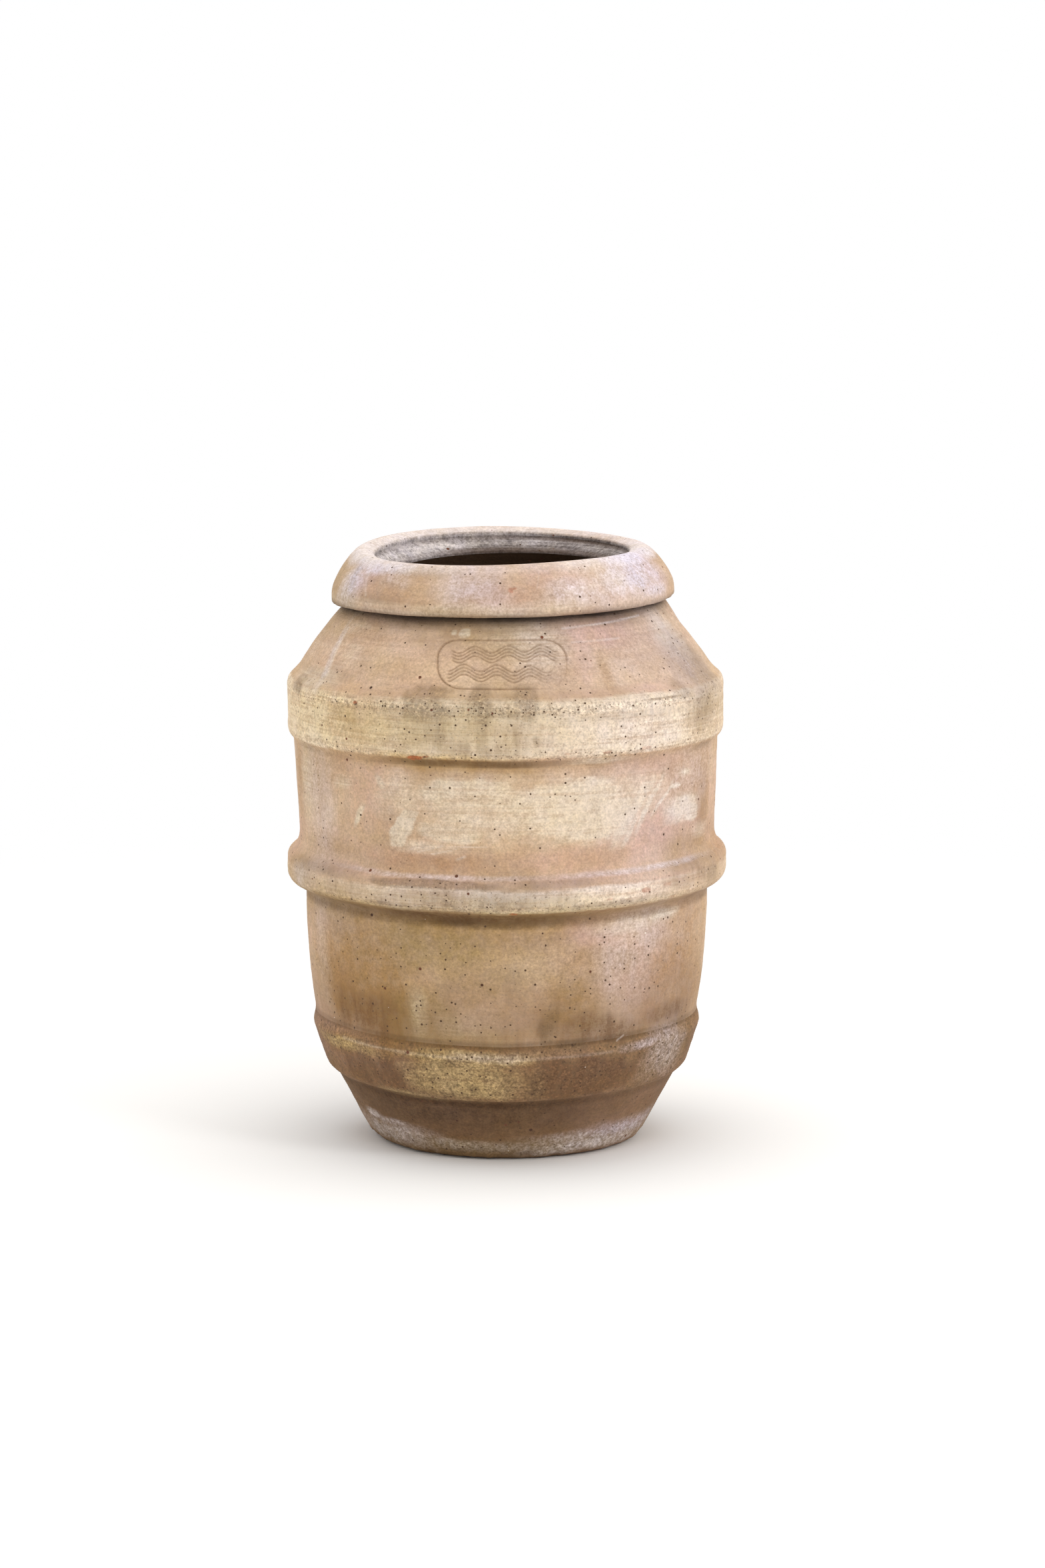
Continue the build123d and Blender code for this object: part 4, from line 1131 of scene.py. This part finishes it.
def mesh_of_rings(name, points, masks, skin_rows, capped):
    """Joins rings of points with faces. capped closes the ends, else the last ring joins the first."""
    rows, turns = points.shape[:2]
    index = np.arange(rows * turns).reshape(rows, turns)
    low = index if not capped else index[:-1]
    high = np.roll(index, -1, axis=0) if not capped else index[1:]
    quads = np.stack((low, np.roll(low, -1, axis=1), np.roll(high, -1, axis=1), high), axis=-1)
    faces = quads.reshape(-1, 4).tolist()
    if capped:
        faces += [index[0, ::-1].tolist(), index[-1].tolist()]
    mesh = bpy.data.meshes.new(name)
    mesh.from_pydata(points.reshape(-1, 3), [], faces)
    mesh.shade_smooth()
    for mask_name, mask in masks.items():
        attribute = mesh.attributes.new(mask_name, "FLOAT", "POINT")
        attribute.data.foreach_set("value", mask.ravel().astype(np.float32))
    ends = np.empty(len(mesh.edges) * 2, np.int32)
    mesh.edges.foreach_get("vertices", ends)
    row_of_end = ends.reshape(-1, 2) // turns
    level = row_of_end[:, 0] == row_of_end[:, 1]
    sharp = level & ((row_of_end[:, 0] >= skin_rows - 1) | (row_of_end[:, 0] == 0))
    if skin_rows == 0:
        sharp = level
    attribute = mesh.attributes.new("sharp_edge", "BOOLEAN", "EDGE")
    attribute.data.foreach_set("value", sharp)
    piece = bpy.data.objects.new(name, mesh)
    bpy.context.scene.collection.objects.link(piece)
    print(f"{name}: {rows} rings of {turns} points, {2 * len(faces)} triangles")
    return piece


pieces = {node: turned_piece(node, *outline) for node, outline in outlines.items()}

# %% [markdown]
# ## Terracotta
# Terracotta is iron-rich clay fired at about 1000 degrees and left unglazed. It is matt and
# slightly porous, with a refractive index near 1.5 and a roughness near 0.9, and grit and lime
# grains show in it. One function builds the finish in the order in which a real jar gets it: the
# mottled clay, the washes and the slip, the stains and the crust of the throat, then lime, dirt
# and knocks; the stains and the dirt also carry painted shade under the rim and the bands. A
# drift of hue and a fine grain go over all of it, and specks, pits and grit come last. The pieces
# use the function with different clay and slip colours.

# %% Layers of the finish
CLOUD, MOTTLE, TINGE = 90.0, 18.0, 25.0  # mm across
PEPPER, GRAIN = 5.5, 2.8  # mm across; a grain is drawn a little coarse
WIPE_LONG, WIPE_HIGH = 120.0, 3.2  # mm, length and height of a wiping line
DRIP_WIDE, DRIP_LONG = 12.0, 110.0  # mm, the streaks that rain leaves
DUST = 3.4  # mm, the finest dirt
SPECK_GAP, SPECK_RADIUS = 6.5, 1.2
PIT_GAP, PIT_RADIUS, PIT_SHARE = 16.0, 1.9, 0.13
GRIT_GAP, GRIT_RADIUS, GRIT_SHARE = 26.0, 0.9, 0.3
SPECKLE = 0.7  # how much stronger the grain is where the skin is pitted
WARM_TINT, COOL_TINT = (1.06, 1.0, 0.72, 1), (0.96, 1.0, 1.32, 1)
BUMP_HEIGHT, BUMP_STRENGTH = 0.35, 0.8  # mm, for what is too fine for the mesh


def per_mm(size):
    """The texture scale at which one lump is a size in mm."""
    return 1 / (size * MM)


def lay_on(tree, below, mask, colour, ragged, rag, crisp, strength):
    """Lays a colour over another where a mask says, with an edge broken up by noise."""
    read = add(tree, "Attribute", attribute_name=mask).outputs["Fac"]
    uneven = {0: ragged, 1: 2 * rag, 2: 1 - rag}
    uneven = add(tree, "Math", uneven, operation="MULTIPLY_ADD").outputs[0]
    broken = add(tree, "Math", {0: read, 1: uneven}, operation="MULTIPLY").outputs[0]
    held = {"Value": broken, "From Min": 0.5 - crisp, "From Max": 0.5 + crisp, "To Max": strength}
    held = add(tree, "MapRange", held).outputs[0]
    over = {MIX_FACTOR: held, MIX_A: below, MIX_B: linear(colour)}
    return add(tree, "Mix", over, data_type="RGBA").outputs[MIX_COLOUR]


def uneven_field(tree, place, size, detail, low=0.3, high=0.7, to_low=0.0, to_high=1.0):
    """Noise with lumps of a size in mm, spread out to run between two values."""
    lumps = {"Vector": place, "Scale": per_mm(size), "Detail": detail, "Roughness": 0.62}
    lumps = add(tree, "TexNoise", lumps).outputs[0]
    spread = {"Value": lumps, "From Min": low, "From Max": high}
    spread |= {"To Min": to_low, "To Max": to_high}
    return add(tree, "MapRange", spread).outputs[0]


def spots(tree, place, gap, radius, share):
    """Round spots, one in each cell of a size, kept in a share of the cells. Also their tint."""
    cells = add(tree, "TexVoronoi", {"Vector": place, "Scale": per_mm(gap)})
    pick = add(tree, "SeparateColor", {"Color": cells.outputs["Color"]})
    part = radius / gap
    edge = {"Value": pick.outputs["Blue"], "To Min": 0.6 * part, "To Max": 1.3 * part}
    edge = add(tree, "MapRange", edge).outputs[0]
    near = {0: edge, 1: cells.outputs["Distance"]}
    near = add(tree, "Math", near, operation="SUBTRACT").outputs[0]
    dots = {"Value": near, "From Min": -0.2 * part, "From Max": 0.2 * part}
    dots = add(tree, "MapRange", dots).outputs[0]
    kept = {0: pick.outputs["Red"], 1: share}
    kept = add(tree, "Math", kept, operation="LESS_THAN").outputs[0]
    both = add(tree, "Math", {0: dots, 1: kept}, operation="MULTIPLY").outputs[0]
    return both, pick.outputs["Green"]


def fired_clay(name, clay, clay_pale, slip, roughness, grainy):
    """A weathered terracotta with its own clay and slip colours, and its own graininess."""
    material, tree = new_material(name)
    place = add(tree, "TexCoord").outputs["Object"]
    level = {"Vector": place, "Scale": (1, 1, WIPE_LONG / WIPE_HIGH)}
    level = add(tree, "Mapping", level).outputs[0]
    upright = {"Vector": place, "Scale": (1, 1, DRIP_WIDE / DRIP_LONG)}
    upright = add(tree, "Mapping", upright).outputs[0]
    cloud = uneven_field(tree, place, CLOUD, 5)
    mottle = uneven_field(tree, place, MOTTLE, 6)
    tinge = uneven_field(tree, place, TINGE, 4, to_low=0.41, to_high=0.59)
    pepper = uneven_field(tree, place, PEPPER, 3)
    grain = uneven_field(tree, place, GRAIN, 2)
    wipe = uneven_field(tree, level, WIPE_LONG, 4)
    drip = uneven_field(tree, upright, DRIP_WIDE, 4)
    pitted = add(tree, "Attribute", attribute_name="pitted").outputs["Fac"]

    # two mixtures of noise break up the edges: brushed where a rag went, washed where water ran
    fine = add(tree, "Math", {0: pepper, 1: grain}, operation="ADD").outputs[0]
    brushed = mottle
    for lumps, share in ((wipe, 1.45), (fine, 0.5)):
        brushed = {0: lumps, 1: share, 2: brushed}
        brushed = add(tree, "Math", brushed, operation="MULTIPLY_ADD").outputs[0]
    brushed = {"Value": brushed, "From Min": 1.0, "From Max": 2.4}
    brushed = add(tree, "MapRange", brushed).outputs[0]
    washed = add(tree, "Math", {0: drip, 1: fine}, operation="ADD").outputs[0]
    washed = {"Value": washed, "From Min": 0.9, "From Max": 2.1}
    washed = add(tree, "MapRange", washed).outputs[0]

    # mask, colour, noise on its edge, how ragged and how soft the edge is, and how opaque the layer
    between = {MIX_FACTOR: cloud, MIX_A: linear(clay), MIX_B: linear(clay_pale)}
    colour = add(tree, "Mix", between, data_type="RGBA").outputs[MIX_COLOUR]
    for layer in (
        ("rosy", "#d0a994", mottle, 0.4, 0.5, 0.8),
        ("ochre", "#a57e4e", mottle, 0.4, 0.5, 0.8),
        ("olive", "#9b814f", mottle, 0.4, 0.5, 0.75),
        # soil, and painted shade in thin lines under the middle and upper bands
        ("umber", "#68492f", washed, 0.4, 0.45, 0.85),
        ("foot_damp", "#573f2a", mottle, 0.25, 0.5, 0.95),
        ("slip", slip, brushed, 0.45, 0.45, 0.85),
        # stains, and painted shade on the shoulder just under the rim
        ("stain_and_shade", "#7a6243", washed, 0.8, 0.45, 0.58),
        ("rim_bloom", "#e6ddd8", mottle, 0.45, 0.5, 0.6),
    ):
        colour = lay_on(tree, colour, *layer)

    # the throat has a grey crust of lime and old oil all over
    crust = {MIX_FACTOR: brushed, MIX_A: linear("#5f544f"), MIX_B: linear("#b0a6a0")}
    crust = add(tree, "Mix", crust, data_type="RGBA").outputs[MIX_COLOUR]
    inside = add(tree, "Attribute", attribute_name="throat").outputs["Fac"]
    crusted = {MIX_FACTOR: inside, MIX_A: colour, MIX_B: crust}
    colour = add(tree, "Mix", crusted, data_type="RGBA").outputs[MIX_COLOUR]
    for layer in (
        ("lime", "#e6dcd8", washed, 0.45, 0.5, 0.65),
        ("scratch", "#ecdcc8", wipe, 0.5, 0.5, 0.6),
        # brown dirt with painted shade in the creases, under the bands and in the throat
        ("crease_dirt_and_shade", "#42280c", mottle, 0.15, 0.5, 0.92),
        # near black under the rim's lip: painted shadow, with some dirt
        ("under_rim_shadow_and_dirt", "#1d1514", mottle, 0.1, 0.5, 0.92),
        ("groove", "#8a6c4c", mottle, 0.3, 0.5, 0.65),
        ("bare", "#ad6848", mottle, 0.3, 0.4, 0.85),
    ):
        colour = lay_on(tree, colour, *layer)

    # iron and lime are never stirred in evenly, so the hue drifts from warm to cool
    for drift, push in (("cool", 0.5), ("warm", -0.45)):
        drift = add(tree, "Attribute", attribute_name=drift).outputs["Fac"]
        tinge = {0: drift, 1: push, 2: tinge}
        tinge = add(tree, "Math", tinge, operation="MULTIPLY_ADD").outputs[0]
    tinge = {MIX_FACTOR: tinge, MIX_A: WARM_TINT, MIX_B: COOL_TINT}
    tinge = add(tree, "Mix", tinge, data_type="RGBA").outputs[MIX_COLOUR]
    tinged = {0: colour, 1: tinge}
    colour = add(tree, "VectorMath", tinged, operation="MULTIPLY").outputs[0]

    # light and dark grains, lines and streaks, with more grain where the skin is pitted
    rough_grain = {0: fine, 1: SPECKLE, 2: -SPECKLE}
    rough_grain = add(tree, "Math", rough_grain, operation="MULTIPLY_ADD").outputs[0]
    shade = {0: rough_grain, 1: pitted, 2: 1.0}
    shade = add(tree, "Math", shade, operation="MULTIPLY_ADD").outputs[0]
    for lumps, dark, light in (
        (mottle, 0.94, 1.05),
        (pepper, 1 - 0.09 * grainy, 1 + 0.06 * grainy),
        (grain, 1 - 0.11 * grainy, 1 + 0.07 * grainy),
        (wipe, 0.96, 1.03),
        (drip, 0.96, 1.03),
    ):
        step = {"Value": lumps, "To Min": dark, "To Max": light}
        step = add(tree, "MapRange", step).outputs[0]
        shade = add(tree, "Math", {0: step, 1: shade}, operation="MULTIPLY").outputs[0]
    toned = {0: colour, "Scale": shade}
    colour = add(tree, "VectorMath", toned, operation="SCALE").outputs[0]

    # dust clings to the pitted places, and dark specks, rusty pits and pale grit lie over it
    dust = uneven_field(tree, place, DUST, 2, 0.56, 0.70)
    dust = add(tree, "Math", {0: dust, 1: pitted}, operation="MULTIPLY").outputs[0]
    specks, _ = spots(tree, place, SPECK_GAP, SPECK_RADIUS, pitted)
    holes, tint = spots(tree, place, PIT_GAP, PIT_RADIUS, PIT_SHARE)
    grit, _ = spots(tree, place, GRIT_GAP, GRIT_RADIUS, GRIT_SHARE)
    rust = {MIX_FACTOR: tint, MIX_A: linear("#3f2c20"), MIX_B: linear("#7c4a34")}
    rust = add(tree, "Mix", rust, data_type="RGBA").outputs[MIX_COLOUR]
    for spot, spot_colour in (
        (dust, linear("#6f5740")),
        (specks, linear("#503a29")),
        (holes, rust),
        (grit, linear("#efe6da")),
    ):
        spotted = {MIX_FACTOR: spot, MIX_A: colour, MIX_B: spot_colour}
        colour = add(tree, "Mix", spotted, data_type="RGBA").outputs[MIX_COLOUR]

    pores = add(tree, "Math", {0: specks, 1: holes}, operation="ADD").outputs[0]
    relief = grain
    for lumps, height in ((pores, -1.2), (wipe, 0.8), (pepper, 1.0)):
        relief = {0: lumps, 1: height, 2: relief}
        relief = add(tree, "Math", relief, operation="MULTIPLY_ADD").outputs[0]
    bump = {"Height": relief, "Distance": BUMP_HEIGHT * MM, "Strength": BUMP_STRENGTH}
    bump = add(tree, "Bump", bump).outputs[0]
    rough = {"Value": mottle, "To Min": roughness - 0.08, "To Max": roughness + 0.05}
    rough = add(tree, "MapRange", rough).outputs[0]
    surface = {"Base Color": colour, "Roughness": rough, "IOR": 1.5, "Specular IOR Level": 0.35}
    surface |= {"Normal": bump}
    clay_surface = add(tree, "BsdfPrincipled", surface)
    add(tree, "OutputMaterial", {"Surface": clay_surface.outputs[0]})
    return material


# %% [markdown]
# ## Dressing the pieces
# The walls and the rim are soft pinkish clay, smoothed by hand. The two upper bands got more slip,
# so they look creamy. The foot and the low band have drawn up damp and show coarse brown clay, and
# the inside is dull and grey. Each piece rides on the jar's one body and stands for its CAD node.

# %% Dress the pieces
# slot: name of the material, clay, paler clay, slip, roughness, graininess
CLAYS = {
    "terracotta_body": ("hand_smoothed_terracotta", "#c6a481", "#d7bb9b", "#e4d3b8", 0.9, 1.1),
    "terracotta_band": ("slip_wiped_terracotta", "#caa984", "#dabd9c", "#ecdabe", 0.9, 1.0),
    "terracotta_foot": ("damp_stained_terracotta", "#94704b", "#a9875f", "#b59b6c", 0.9, 2.4),
    "terracotta_inside": ("limed_inside_terracotta", "#5d4936", "#6f5b46", "#807058", 0.95, 1.0),
}
finishes = {slot: fired_clay(*clay) for slot, clay in CLAYS.items()}
slot_of = {row["node"]: row["material_slot"] for row in frame["record"]["subparts"]}
for node, piece in pieces.items():
    piece.data.materials.append(finishes[slot_of[node]])
    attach(piece, "root")
    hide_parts(node)
print("materials:", [material.name for material in finishes.values()])
